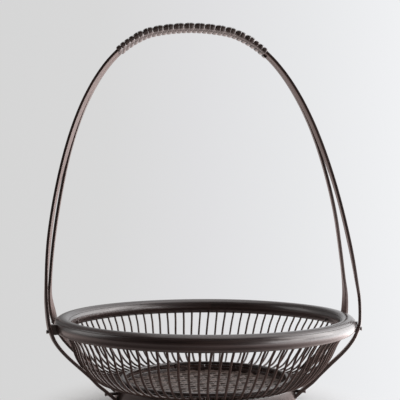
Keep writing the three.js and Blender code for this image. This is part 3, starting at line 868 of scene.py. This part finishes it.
@dataclass
class Floor:
    """The plaited mat and the two battens under it."""

    radius: float = 80.3
    top: float = 19.8
    thickness: float = 1.3
    turn: float = math.radians(8)
    splint_width: float = 5.0
    splint_gap: float = 0.35
    splint_thickness: float = 0.52
    splint_soften: float = 0.22
    splint_clearance: float = 0.02
    level_share: float = 0.62  # of a crossing over which a splint runs level
    edge: float = 0.6  # splints that come nearer to the mat's edge are left out
    end_room: float = 0.4  # from a splint's last crossing to the mat's edge
    grain_shifts: tuple[float, float, float] = (17.0, 5.0, 90.0)  # along and through by number, through by set
    batten_half_length: float = 84.6
    batten_width: float = 12.0
    batten_thickness: float = 3.0
    batten_top: float = 18.2
    batten_crown: float = 0.6
    batten_rounding: Outline = ((-1, 1), (-0.6, 0.3), (0, 0), (0.6, 0.3), (1, 1))  # of its underside, by that
    notch_room: float = 0.3

    @property
    def pitch(self) -> float:
        """From one splint to the next."""
        return self.splint_width + self.splint_gap

    def splint(self, number: int, lift: int) -> list[Ring]:
        """One splint of the mat, which lies over two and under two.

        Args:
            number: The splint's number from the middle.
            lift: 1 for the set along X, -1 for the set along Y.

        Returns:
            Its rings, or none where the mat has ended.
        """
        middle, half = (number + 0.5) * self.pitch, self.splint_width / 2
        if abs(middle) + half > self.radius - self.edge:
            return []
        (on, up, by_set), face = self.grain_shifts, self.splint_thickness / 2
        level, swing = self.top - self.thickness / 2, self.thickness / 2 - face - self.splint_clearance
        section = softened(box(-half, half, -face, face), self.splint_soften, steps=1)
        inner, outer = (math.sqrt(self.radius**2 - (abs(middle) + way * half) ** 2) for way in (1, -1))
        last = int(self.radius / self.pitch) + 2
        stations = [
            ((there + 0.5) * self.pitch + way * half * self.level_share, lift if (number + there) % 4 < 2 else -lift)
            for there in range(-last, last)
            for way in (-1, 1)
        ]
        stations = [station for station in stations if abs(station[0]) < inner - self.end_room]
        rings = []
        for along, rise in [(-outer, stations[0][1]), *stations, (outer, stations[-1][1])]:
            points, grain = [], []
            for w, t in section:
                reach = math.sqrt(max(self.radius**2 - (middle + w) ** 2, 1.0))
                here = min(max(along, -reach), reach)
                flat = (here, middle + w) if lift > 0 else (-(middle + w), here)
                points.append(turned(Vector((*flat, level + rise * swing + t)), self.turn))
                grain.append(Vector((here + on * number, w, t + up * number + by_set * lift)))
            rings.append((points, grain))
        return rings

    def batten(self, angle: float, notch_above: bool) -> MeshDraft:
        """One batten, with half its thickness cut away where the two cross.

        Args:
            angle: Its angle round the axis.
            notch_above: Whether the notch is in its upper face.

        Returns:
            The draft.
        """
        half, top = self.batten_width / 2, self.batten_top
        bottom = top - self.batten_thickness
        middle, room = (bottom + top) / 2, self.notch_room / 2
        end, notch = self.batten_half_length, half + self.notch_room
        whole = (bottom, top, self.batten_crown)
        cut = (bottom, middle - room, self.batten_crown) if notch_above else (middle + room, top, 0.0)
        rings = []
        for along, (low, high, crown) in (
            (-end, whole), (-notch, whole), (-notch, cut), (notch, cut), (notch, whole), (end, whole)
        ):
            underside = [(half * out, low + crown * up) for out, up in self.batten_rounding]
            section = [Vector((along, w, z)) for w, z in [*underside, (half, high), (-half, high)]]
            rings.append(([turned(point, angle) for point in section], section))
        return MeshDraft().skin(rings)

    def build(self, basket: Basket) -> None:
        """Make the mat and the battens.

        Args:
            basket: The whole.
        """
        mat = MeshDraft()
        reach = int(self.radius / self.pitch) + 1
        for lift in (1, -1):
            for number in range(-reach, reach):
                rings = self.splint(number, lift)
                if rings:
                    mat.skin(rings)
        basket.keep(mat, "woven_floor", FLOOR_LACQUER)
        basket.keep(self.batten(math.pi / 4, True), "floor_batten_lower", STRIP_LACQUER)
        basket.keep(self.batten(-math.pi / 4, False), "floor_batten_upper", STRIP_LACQUER)


# Handle


@dataclass
class HandleShape:
    """The lines of the handle: two strips side by side at the top that spread to four legs.

    A strip is -1 for the front one, 1 for the rear one and 0 for the line between them, and
    a height is a share of the arch's rise over the rim.
    """

    spokes: Outline  # the middle line of a spoke, as [radius, height] points
    strip_width: float = 12.0
    strip_thickness: float = 3.3
    rim_level: float = 82.5
    rim_radius: float = 150.0
    fit: float = 0.3
    leg_end_radius: float = 86.0
    leg_end_height: float = 6.7
    leg_angle: float = math.radians(14)
    leg_turn: float = math.radians(4)
    arch_turn: float = math.radians(6.2)
    right_standoff: float = 0.65
    left_standoff: float = 4.55
    rear_standoff: float = 2.0
    left_foot_standoff: float = 2.0
    root_room: float = 1.1  # over the roots' middle, where the legs start to clear the spokes
    spoke_clearance: float = 1.3  # from a spoke's middle line to a strip's inner face
    right_slack: float = 2.1  # by which the spokes lean away from the right legs
    turn_gone: float = 0.5
    twist_gone: Span = (0.3, 0.17)  # of the front and the rear strips
    rear_sag: float = 1.6  # by which the rear strip hangs inwards on the right
    sag_window: Window = (0.08, 0.3, 0.42, 0.72)
    rear_bow: Span = (math.radians(2), math.radians(6))  # how far its face turns away, right and left
    rear_window: Window = (0.0, 0.12, 0.65, 0.9)
    front_bow: float = math.radians(7)  # how far the front strip's face turns forward
    front_window: Window = (0.4, 0.65, 0.77, 0.92)
    rise: float = 295.0
    half_span: float = 154.3
    lean: float = 15.0
    height_power: float = 1.7
    width_power: float = 0.372
    lean_power: float = 0.7
    leg_shares: Outline = (
        (0.0, 0.0), (0.198, 0.164), (0.302, 0.26), (0.4, 0.342), (0.499, 0.424), (0.595, 0.504), (0.69, 0.584),
        (0.778, 0.664), (0.853, 0.741), (0.931, 0.844), (0.967, 0.917), (1.0, 1.0),
    )
    spread_shares: Outline = (
        (0.078, 0.7), (0.142, 0.648), (0.21, 0.589), (0.278, 0.504), (0.346, 0.42), (0.414, 0.355), (0.481, 0.3),
        (0.55, 0.262), (0.62, 0.23), (0.685, 0.195), (0.753, 0.148), (0.82, 0.085), (0.87, 0.035), (0.9, 0.012),
        (0.925, 0.002), (0.945, 0.0), (0.965, 0.0), (0.985, 0.0),
    )

    @property
    def leg_rim_radius(self) -> float:
        """Radius of a strip's middle at the rim, when it lies against it."""
        return self.rim_radius + self.fit + self.strip_thickness / 2

    @property
    def strip_offset(self) -> float:
        """Distance of each strip's middle from the middle of the handle at the top."""
        return (self.strip_width + self.fit) / 2

    def standoff(self, side: Side, strip: int) -> Span:
        """How far a leg springs off the rim and off the foot ring."""
        near = (self.right_standoff, 0.0) if side is Side.RIGHT else (self.left_standoff, self.left_foot_standoff)
        return near[0] + (self.rear_standoff if strip == 1 else 0.0), near[1]

    def angle(self, side: Side, strip: int) -> float:
        """The angle of a leg round the axis."""
        return (0.0 if side is Side.RIGHT else math.pi) + self.leg_turn + side.value * strip * self.leg_angle

    def least_radius(self, level: float) -> float:
        """The least radius of a leg's middle line that clears the spokes at a level."""
        radius, slope = interpolated(self.spokes, level)
        return radius + (self.spoke_clearance + self.strip_thickness / 2) * math.hypot(1, slope)

    def leg_radius(self, side: Side, strip: int, out: float, level: float) -> float:
        """The radius of a leg's middle line.

        Args:
            side: The leg's side.
            strip: The leg's strip.
            out: The share of its run outwards.
            level: The height.

        Returns:
            The radius.
        """
        at_rim, at_foot = self.standoff(side, strip)
        start = self.leg_end_radius + at_foot
        radius = start + (self.leg_rim_radius + at_rim - start) * out
        if not self.spokes[0][1] + self.root_room <= level <= self.spokes[-2][1]:
            return radius
        return max(radius, self.least_radius(level) - (self.right_slack if side is Side.RIGHT else 0.0))

    def fading(self, turn: float, height: float, gone: float) -> float:
        """What is left of a turn at a height."""
        return turn * smoothstep(gone - height, 0, gone)

    def bow(self, side: Side, strip: int, height: float) -> float:
        """How far a strip's face turns as it springs away from the other one.

        Args:
            side: The side.
            strip: The strip.
            height: The height.

        Returns:
            The turn in radians.
        """
        rear = self.rear_bow[side is Side.LEFT], self.rear_window
        size, window = rear if strip == 1 else (self.front_bow, self.front_window)
        return size * within(height, window)

    def half_knots(self, side: Side, strip: int) -> list[tuple[Vector, float]]:
        """Knots of one half of a strip, from the foot up to just before the top.

        Args:
            side: The side of the half.
            strip: The strip.

        Returns:
            Points with the turn of the strip's face.
        """
        sign = side.value
        twist = sign * strip * self.leg_angle + self.leg_turn
        knots = []
        for out, up in self.leg_shares:
            level = self.leg_end_height + (self.rim_level - self.leg_end_height) * up
            point = Vector((sign * self.leg_radius(side, strip, out, level), 0, level))
            knots.append((turned(point, twist), -twist))
        spread = self.leg_rim_radius * math.sin(self.leg_angle) - self.strip_offset
        sag = self.rear_sag if side is Side.RIGHT and strip == 1 else 0.0
        for height, share in self.spread_shares:
            bow = sign * strip * self.bow(side, strip, height)
            across = sign * self.half_span * (1 - height**self.height_power) ** self.width_power
            across -= self.lean * height**self.lean_power + sag * within(height, self.sag_window)
            across += self.strip_width / 2 * math.sin(bow) if strip == -1 else 0.0
            apart = strip * (self.strip_offset + spread * share)
            point = Vector((across, apart, self.rim_level + self.rise * height))
            turn = bow - self.fading(twist, height, self.twist_gone[strip == 1])
            knots.append((turned(point, self.fading(self.arch_turn, height, self.turn_gone)), turn))
        return knots

    def knots(self, strip: int) -> list[tuple[Vector, float]]:
        """All knots of a strip, from the right foot to the left one."""
        top = (Vector((-self.lean, strip * self.strip_offset, self.rim_level + self.rise)), 0.0)
        return [*self.half_knots(Side.RIGHT, strip), top, *reversed(self.half_knots(Side.LEFT, strip))]


@dataclass
class Strips:
    """The two bent strips, with their ends pared to lie on the foot ring."""

    shape: HandleShape
    crown: float = 0.5
    crown_steps: int = 4  # to each side of the middle
    steps: int = 260
    edge: float = 0.6
    paring_radius: float = 90.8
    paring_height: float = 22.5
    paring_sides: int = 240
    grain_shift: float = 900.0  # from strip to strip

    def section(self) -> Outline:
        """The strip's section, flat inside and crowned on its outer skin.

        Returns:
            The outline.
        """
        half, face = self.shape.strip_width / 2, self.shape.strip_thickness / 2
        shares = (k / self.crown_steps for k in range(self.crown_steps, -self.crown_steps - 1, -1))
        crowned = [(half * share, face - self.crown * share**2) for share in shares]
        return softened([(-half, -face), (half, -face), *crowned], self.edge)

    def draft(self, strip: Place) -> MeshDraft:
        """The mesh of one strip before its ends are pared.

        Args:
            strip: Which strip.

        Returns:
            The draft.
        """
        points, turns = zip(*self.shape.knots(strip.value))
        curve, section = FairCurve(points), self.section()
        rings = []
        for i in range(self.steps + 1):
            distance = curve.length * i / self.steps
            param = curve.param_at(distance)
            across, out = frame_at(curve.along(distance), self.turn_at(turns, *curve.place(param)))
            centre, place = curve.point(param), distance + self.grain_shift * strip.value
            points = [centre + across * w + out * t for w, t in section]
            rings.append((points, [Vector((place, w, t)) for w, t in section]))
        return MeshDraft().skin(rings)

    def turn_at(self, turns: Sequence[float], knot: int, share: float) -> float:
        """The turn of the strip's face at a share of the way from one knot to the next."""
        a, b, c, d = (turns[min(max(i, 0), len(turns) - 1)] for i in range(knot - 1, knot + 3))
        return hermite(b, c, (c - a) / 2, (d - b) / 2, share)

    def pare(self, piece: bpy.types.Object, basket: Basket) -> None:
        """Cut the strip's ends to the round of the foot ring.

        Args:
            piece: The strip.
            basket: The whole.
        """
        outline = circle(self.paring_radius, self.paring_sides)
        levels = [[Vector((x, y, level)) for x, y in outline] for level in (-1.0, self.paring_height)]
        cutter = MeshDraft().skin([(points, points) for points in levels]).build("paring_core", basket.axis)
        cut = piece.modifiers.new("pared ends", "BOOLEAN")
        cut.operation, cut.solver, cut.object = "DIFFERENCE", "EXACT", cutter
        bpy.context.view_layer.update()
        pared = bpy.data.meshes.new_from_object(piece.evaluated_get(bpy.context.evaluated_depsgraph_get()))
        piece.modifiers.clear()
        piece.data = pared
        bpy.data.objects.remove(cutter)
        made = bmesh.new()
        made.from_mesh(pared)
        creased(made, pared)

    def build(self, basket: Basket) -> None:
        """Make both strips.

        Args:
            basket: The whole.
        """
        for strip in Place:
            node = f"handle_strip_{strip.name.lower()}"
            piece = self.draft(strip).build(f"vis_{node}", basket.axis)
            self.pare(piece, basket)
            basket.keep_piece(piece, node, STRIP_LACQUER)


@dataclass
class Wrap:
    """One unbroken cane wound round both strips at the top of the arch."""

    shape: HandleShape
    turns: int = 31
    first_singles: int = 3
    pairs: int = 12
    length: float = 160.6
    shift: float = 3.1  # of its middle from the top of the arch, towards the right
    clearance: float = 0.12
    cane_thickness: float = 0.85
    cane_gap: float = 0.14
    end_inset: float = 0.6  # of the round ends of a turn, over the strips' rounded edges
    hump: float = 0.95
    single_hump: float = 0.35
    raised: Window = (0.24, 0.36, 0.78, 0.9)  # share of the turn over which they rise and fall
    under_hump: float = 0.9  # of each turn on the underside
    under_gap: float = 0.6  # between turns there
    under_end: Span = (0.12, 0.24)  # share of the turn over which these fade
    climb: Span = (0.055, 0.09)  # how unevenly a turn gains on its pitch, twice and once a turn
    turn_length: float = 60.0
    steps: int = 36
    apex_steps: int = 4000
    spots: tuple[float, ...] = (-1.0, -0.92, -0.7, -0.35, 0.0, 0.35, 0.7, 0.92, 1.0)  # across the cane's section
    edge_power: int = 6  # how square its edges are
    dome_power: float = 2.4  # how flat a lump's top is
    inner_share: float = 0.8  # thickness of the cane's inner half beside that of its outer half

    def loop(self) -> list[tuple[float, ...]]:
        """Points round one turn, from the middle of the underside.

        Returns:
            Offsets across and out, the way away from the core, and the share of the turn's length.
        """
        radius = self.shape.strip_thickness / 2 + self.clearance + self.cane_thickness / 2
        end = self.shape.strip_offset + self.shape.strip_width / 2 - self.end_inset
        bend = math.pi * radius
        result = []
        for share in (i / self.steps for i in range(self.steps)):
            run = share % 0.5 * 2 * (2 * end + bend)
            turn = min(max((run - end) / radius, 0.0), math.pi) - math.pi / 2
            straight = min(run, end) - max(run - end - bend, 0.0)
            away = (0.0 if run < end or run >= end + bend else math.cos(turn), math.sin(turn))
            spot = (straight + radius * away[0], radius * away[1], *away)
            result.append((*(value if share < 0.5 else -value for value in spot), share))
        return result

    def lump(self, turn: int) -> Span:
        """The middle and the half width of a turn's lump on the top, as shares of the pitch."""
        place = turn - self.first_singles
        return (0.5 - place % 2, 1.0) if 0 <= place < 2 * self.pairs else (0.0, 0.5)

    def section(self, turn: int, share: float, pitch: float) -> Outline:
        """The cane's section, bent to the dome of the lump that it belongs to.

        Args:
            turn: The turn's number.
            share: Share of the turn's length, from the middle of the underside.
            pitch: The pitch of the winding.

        Returns:
            Points along and away.
        """
        width, raised = pitch - self.cane_gap, within(share, self.raised)
        if raised > 0:
            middle, half = self.lump(turn)
            lift = (self.hump if half > 0.5 else self.single_hump) * raised
        else:
            under = 1 - smoothstep(min(share, 1 - share), *self.under_end)
            width -= (self.under_gap - self.cane_gap) * under
            lift, middle, half = self.under_hump * under, 0.0, 0.5
        tops, bottoms = [], []
        for out in self.spots:
            w, rounded = out * width / 2, self.cane_thickness / 2 * (1 - abs(out) ** self.edge_power)
            dome = lift * (1 - min(abs((w / pitch - middle) / half), 1.0) ** self.dome_power)
            tops.append((w, dome + rounded))
            bottoms.append((w, dome - rounded * self.inner_share))
        return tops + bottoms[-2:0:-1]

    def draft(self) -> MeshDraft:
        """The mesh of the whole winding.

        Returns:
            The draft.
        """
        shape, pitch = self.shape, self.length / self.turns
        curve = FairCurve([point for point, _ in shape.knots(0)])
        apex = Vector((-shape.lean, 0, shape.rim_level + shape.rise))
        tries = [curve.length * i / self.apex_steps for i in range(self.apex_steps + 1)]
        start = min(tries, key=lambda distance: (curve.at(distance) - apex).length) - self.shift - self.length / 2
        loop = self.loop()
        stations = [(turn, *point) for turn in range(self.turns) for point in loop] + [(self.turns, *loop[0])]
        rings = []
        for i, (turn, across_by, out_by, away_across, away_out, share) in enumerate(stations):
            middle = start + (turn + self.gained(share)) * pitch
            along = curve.along(middle)
            across, out = frame_at(along, 0.0)
            section = self.section(turn, share, pitch)
            centre = curve.at(middle) + across * across_by + out * out_by
            away = across * away_across + out * away_out
            points = [centre + along * w + away * t for w, t in section]
            rings.append((points, [Vector((i * self.turn_length / self.steps, w, t)) for w, t in section]))
        return MeshDraft().skin(rings)

    def gained(self, share: float) -> float:
        """The part of the pitch gained by a share of the turn: little over the top, more on the underside."""
        twice, once = self.climb
        return share + twice * math.sin(2 * ROUND * share) + once * math.sin(ROUND * share)

    def build(self, basket: Basket) -> None:
        """Make the winding."""
        basket.keep(self.draft(), "handle_wrap", CANE_LACQUER)


@dataclass
class Pegs:
    """The eight turned pegs that hold the legs to the rim and to the foot ring."""

    shape: HandleShape
    rim: Rim
    diameter: float = 3.0
    head: float = 4.2
    rim_width: float = 16.8
    rim_projection: float = 1.2
    rim_seat: float = 0.2
    rim_drop: float = 3.0
    foot_radius: float = 90.5
    foot_height: float = 16.5
    foot_reach: float = 9.2
    foot_depth: float = 4.6
    sides: int = 20
    tip: Outline = ((0.0, 0.55), (0.45, 0.92), (0.9, 1.0))  # reach, and share of the shank's radius
    knob: Outline = ((0.02, 0.94), (0.2, 1.0), (0.5, 0.9), (0.75, 0.62), (0.9, 0.3))  # the same for the head
    # the dark block between each front leg and the rim: painted shadow where the leg meets the rim
    shadow_block_low: float = 76.6
    shadow_block_high: float = 86.2
    shadow_block_width: float = 6.4
    shadow_block_gap: float = 0.06
    shadow_block_steps: int = 8
    shadow_block_slope: float = 0.88  # of a leg's slope, as a share of the slope of its shares

    def rim_shadow_block(self, standoff: float, angle: float) -> list[Ring]:
        """The dark block that fills the gap between the rim and a leg round its peg, where the leg lies against the
        rim: painted shadow of that contact.

        Args:
            standoff: How far the leg springs off the rim.
            angle: The leg's angle round the basket.

        Returns:
            Its rings.
        """
        shape, rim = self.shape, self.rim
        start = shape.leg_end_radius
        run, leg_rise = shape.leg_rim_radius + standoff - start, shape.rim_level - shape.leg_end_height
        inner, outer = [], []
        for i in range(self.shadow_block_steps + 1):
            level = self.shadow_block_low + (self.shadow_block_high - self.shadow_block_low) * i / self.shadow_block_steps
            rise = (level - rim.level) / rim.half_height
            inner.append((rim.radius + rim.half_width * math.sqrt(1 - rise * rise) + self.shadow_block_gap, level))
            up = (level - shape.leg_end_height) / leg_rise
            out, slope = interpolated(shape.leg_shares, up) if up < 1 else (1.0, 0.0)
            thick = shape.strip_thickness / 2 * math.hypot(1, slope * self.shadow_block_slope)
            outer.append((start + run * out - thick - self.shadow_block_gap, level))
        rings = []
        for w in (-self.shadow_block_width / 2, self.shadow_block_width / 2):
            outline = [Vector((radius, w, level)) for radius, level in inner + outer[::-1]]
            rings.append(([turned(point, angle) for point in outline], [point.zyx for point in outline]))
        return rings

    def draft(self, head_radius: float, tip_radius: float, level: float, angle: float) -> MeshDraft:
        """One peg, its axis along a radius and its head outside.

        Args:
            head_radius: Where the head starts.
            tip_radius: Where the shank ends.
            level: Height of its axis.
            angle: Its angle round the basket.

        Returns:
            The draft.
        """
        shank, head, length = self.diameter / 2, self.head / 2, head_radius - tip_radius
        profile = [(reach, shank * share) for reach, share in self.tip] + [(length, shank)]
        profile += [(length + reach, head * share) for reach, share in self.knob]
        rings = []
        for reach, radius in profile:
            section = [(y, z + level) for y, z in circle(radius, self.sides)]
            points = [turned(Vector((tip_radius + reach, *place)), angle) for place in section]
            rings.append((points, [Vector((reach, *place)) for place in section]))
        return MeshDraft().skin(rings)

    def build(self, basket: Basket) -> None:
        """Make the pegs.

        Args:
            basket: The whole.
        """
        shape = self.shape
        for side, strip in ((side, strip) for side in Side for strip in Place):
            rim_standoff, foot_standoff = shape.standoff(side, strip.value)
            angle = shape.angle(side, strip.value)
            place = f"{strip.name.lower()}_{side.name.lower()}"
            rim_head = shape.leg_rim_radius + rim_standoff + shape.strip_thickness / 2 + self.rim_seat
            rim_tip = shape.rim_radius - self.rim_width - self.rim_projection
            rim_peg = self.draft(rim_head, rim_tip, shape.rim_level - self.rim_drop, angle)
            # the front legs get the dark block of painted shadow against the rim
            if strip is Place.FRONT:
                rim_peg.skin(self.rim_shadow_block(rim_standoff, angle))
            basket.keep(rim_peg, f"rim_peg_{place}", PEG_LACQUER)
            foot_head = self.foot_radius + foot_standoff + self.foot_reach
            foot_peg = self.draft(foot_head, self.foot_radius - self.foot_depth, self.foot_height, angle)
            basket.keep(foot_peg, f"foot_peg_{place}", PEG_LACQUER)


# Studio


@dataclass
class SoftLamp:
    """A square soft lamp that shines at the basket."""

    name: str
    place: tuple[float, float, float]  # in metres
    size: float
    power: float

    def build(self, target: Vector) -> bpy.types.Object:
        """Hang the lamp.

        Args:
            target: What it shines at.

        Returns:
            The lamp.
        """
        light = bpy.data.lights.new(self.name, "AREA")
        light.size, light.energy = self.size, self.power
        lamp = bpy.data.objects.new(self.name, light)
        lamp.location = self.place
        lamp.rotation_euler = (target - Vector(self.place)).to_track_quat("-Z", "Y").to_euler()
        lamp.visible_camera = False
        bpy.context.scene.collection.objects.link(lamp)
        return lamp


@dataclass
class Studio:
    """A plain pale floor that runs into a pale backdrop, soft lamps and the camera. Lengths are in metres."""

    axis: Vector  # a point on the basket's upright axis
    view_place: tuple[float, float, float] = (-0.0052, -0.926, 0.205)  # the photograph's, from the axis
    lens: float = 82.98
    sensor: float = 36.0
    sight: Span = (0.01, 100.0)  # nearest and farthest
    aim: tuple[float, float, float] = (0.0, 0.0, 0.15)  # of the lamps
    floor_radius: float = 40.0
    floor_level: float = -0.00005
    floor_sides: int = 96
    floor_albedo: float = 0.95
    matt_reach: Span = (0.08, 0.19)  # from the middle, where the floor goes over into the even backdrop
    diffuse_level: float = 0.62
    front_level: float = 0.06  # of the backdrop's mirrored brightness, in front of the basket
    front_reach: Span = (0.42, -0.35)  # between which it falls to that
    floor_front_level: float = 0.1  # the same for the floor
    floor_front_reach: Span = (-0.3, -0.8)
    side_levels: Outline = (  # of the mirrored brightness, by the sideways part of a direction
        (-1.0, 1.5), (-0.75, 0.6), (-0.3, 0.22), (-0.08, 0.75), (0.0, 1.0), (0.1, 1.05), (0.35, 1.2), (0.65, 2.8),
        (1.0, 6.0),
    )
    floor_sheen: Colour = (1.0, 0.84, 0.8)  # of the floor to the left where it is mirrored
    sheen_reach: Span = (0.15, 0.5)  # sideways, where that fades
    floor_shade: float = 0.22  # of the near floor where it is mirrored
    floor_reach: Span = (0.17, 0.37)  # where that fades
    floor_least: float = 0.8  # the least that its sideways level falls to
    floor_glow: float = 0.5  # its share of plain glow where it is mirrored
    room: Colour = (1.0, 0.965, 0.94)  # of the even light
    tones: tuple[tuple[float, Colour], ...] = (  # of the backdrop, by the sideways part of a direction; darker to the left as painted light falling off from the right, and the matt floor takes them as its colour too
        (-1.0, (0.54, 0.537, 0.533)), (-0.5, (0.6, 0.6, 0.597)), (-0.21, (0.672, 0.672, 0.672)),
        (-0.1, (0.69, 0.69, 0.692)), (0.0, (0.738, 0.738, 0.752)), (0.11, (0.799, 0.806, 0.82)),
        (0.21, (0.871, 0.879, 0.896)), (0.5, (0.98, 0.985, 1.0)), (1.0, (1.0, 1.0, 1.0)),
    )
    lamps: tuple[SoftLamp, ...] = (
        SoftLamp("key", (1.2, -0.1, 0.7), 1.0, 13.0),
        SoftLamp("fill", (-1.2, 0.2, 0.75), 0.8, 2.5),
        SoftLamp("top", (0.1, 0.3, 1.5), 1.2, 5.0),
        SoftLamp("side", (1.2, -0.75, 0.16), 0.7, 9.0),
    )

    def across(self, bench: NodeBench, side: Socket, stops: Sequence[tuple[float, Colour]]) -> Socket:
        """Colours by the sideways part of a direction, from -1 to 1."""
        factor = bench.remap(side, (-1.0, 1.0), (0.0, 1.0))
        return bench.ramp(factor, [((x + 1) / 2, colour) for x, colour in stops])

    def sideways(self, bench: NodeBench, side: Socket) -> Socket:
        """The mirrored brightness by the sideways part of a direction.

        Args:
            bench: The tree's bench.
            side: The socket that gives that part, from -1 to 1.

        Returns:
            The level's socket.
        """
        most = max(level for _, level in self.side_levels)
        shares = self.across(bench, side, [(x, (level / most,) * 3) for x, level in self.side_levels])
        return bench.sum("MULTIPLY", shares, most)

    def world(self) -> None:
        """Light the room: a pale backdrop to look at and to be mirrored, and an even level elsewhere."""
        world = bpy.data.worlds.new("studio")
        bpy.context.scene.world = world
        bench = NodeBench(world)
        place = bench.add("TexCoord").outputs["Generated"]
        side = bench.part(place, "X")
        colour = self.across(bench, side, self.tones)
        front = bench.remap(bench.part(place, "Y"), self.front_reach, (1.0, self.front_level), smooth=True)
        level = bench.sum("MULTIPLY", front, self.sideways(bench, side))
        path = bench.add("LightPath").outputs
        gloss = bench.sum("MAXIMUM", path["Is Glossy Ray"], path["Is Transmission Ray"])
        even = bench.add("Background", {"Color": (*self.room, 1), "Strength": self.diffuse_level})
        mirrored = bench.add("Background", {"Color": colour, "Strength": level})
        seen = bench.add("Background", {"Color": colour})
        unseen = bench.mixed(gloss, even, mirrored)
        bench.add("OutputWorld", {"Surface": bench.mixed(path["Is Camera Ray"], unseen, seen).outputs[0]})

    def floor(self) -> None:
        """Lay the floor: it takes the basket's shadow near by and runs into the backdrop far off."""
        draft = MeshDraft()
        outline = circle(self.floor_radius / METRES, self.floor_sides)
        points = [Vector((x, y, self.floor_level / METRES)) for x, y in outline]
        draft.points, draft.grain, draft.faces = points, points, [tuple(range(self.floor_sides))]
        floor = draft.build("studio_floor", Vector((0, 0, 0)))
        made = bpy.data.materials.new("studio floor")
        bench = NodeBench(made)
        place = bench.add("NewGeometry").outputs["Position"]
        away = bench.add("VectorMath", {0: place}, operation="LENGTH").outputs["Value"]
        eye = self.axis + Vector(self.view_place)
        offset = bench.add("VectorMath", {0: place, 1: eye}, operation="SUBTRACT").outputs[0]
        heading = bench.add("VectorMath", {0: offset}, operation="NORMALIZE").outputs[0]
        side = bench.part(heading, "X")
        glossy = bench.add("LightPath").outputs["Is Glossy Ray"]
        left = bench.remap(side, self.sheen_reach, (1.0, 0.0), smooth=True)
        tone, sheen = self.across(bench, side, self.tones), (*self.floor_sheen, 1)
        tinted = {"Factor": bench.sum("MULTIPLY", glossy, left), 6: tone, 7: sheen}
        colour = bench.add("Mix", tinted, data_type="RGBA", blend_type="MULTIPLY").outputs[2]
        near = bench.remap(away, self.floor_reach, (self.floor_shade, 1.0), smooth=True)
        back = bench.part(place, "Y")
        front = bench.remap(back, self.floor_front_reach, (1.0, self.floor_front_level), smooth=True)
        towards = bench.sum("DIVIDE", bench.part(place, "X"), away)
        level = bench.sum("MAXIMUM", self.sideways(bench, towards), self.floor_least)
        level = bench.sum("MULTIPLY", bench.sum("MULTIPLY", front, near), level)
        strength = bench.add("Mix", {0: glossy, 2: 1.0, 3: level}, data_type="FLOAT").outputs[0]
        glow = bench.add("Emission", {"Color": colour, "Strength": strength})
        # the matt floor's colour is the backdrop's tones: painted shade, darker to the left and lighter to the right
        shade = bench.add("VectorMath", {0: colour, "Scale": self.floor_albedo}, operation="SCALE")
        matt = bench.add("BsdfDiffuse", {"Color": shade.outputs[0]})
        share = bench.remap(away, self.matt_reach, (0.0, 1.0), smooth=True)
        share = bench.sum("MAXIMUM", share, bench.sum("MULTIPLY", glossy, self.floor_glow))
        bench.add("OutputMaterial", {"Surface": bench.mixed(share, matt, glow).outputs[0]})
        floor.data.materials.append(made)

    def camera(self) -> None:
        """Set the camera at the photograph's place."""
        data = bpy.data.cameras.new("camera")
        data.lens, data.sensor_width = self.lens, self.sensor
        data.clip_start, data.clip_end = self.sight
        camera = bpy.data.objects.new("camera", data)
        camera.location = self.axis + Vector(self.view_place)
        camera.rotation_euler = (math.pi / 2, 0, 0)
        bpy.context.scene.collection.objects.link(camera)
        bpy.context.scene.camera = camera

    def build(self) -> None:
        """Set up the whole studio."""
        self.world()
        self.floor()
        for lamp in self.lamps:
            lamp.build(Vector(self.aim))
        self.camera()
        bpy.context.scene.view_settings.view_transform = "Standard"


def main() -> None:
    """Build the basket and its studio."""
    logging.basicConfig(level=logging.INFO, format="%(name)s: %(message)s")
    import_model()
    low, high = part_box("foot_ring")
    middle = (low + high) / 2
    basket = Basket(axis=Vector((middle.x, middle.y, 0)))
    slats, rim = Slats(), Rim()
    shape = HandleShape(slats.line())
    for assembly in (Foot(), Floor(), slats, rim, Strips(shape), Wrap(shape), Pegs(shape, rim)):
        assembly.build(basket)
    Studio(basket.axis).build()
    LOG.info("%d pieces", basket.pieces)


if __name__ == "__main__":
    main()
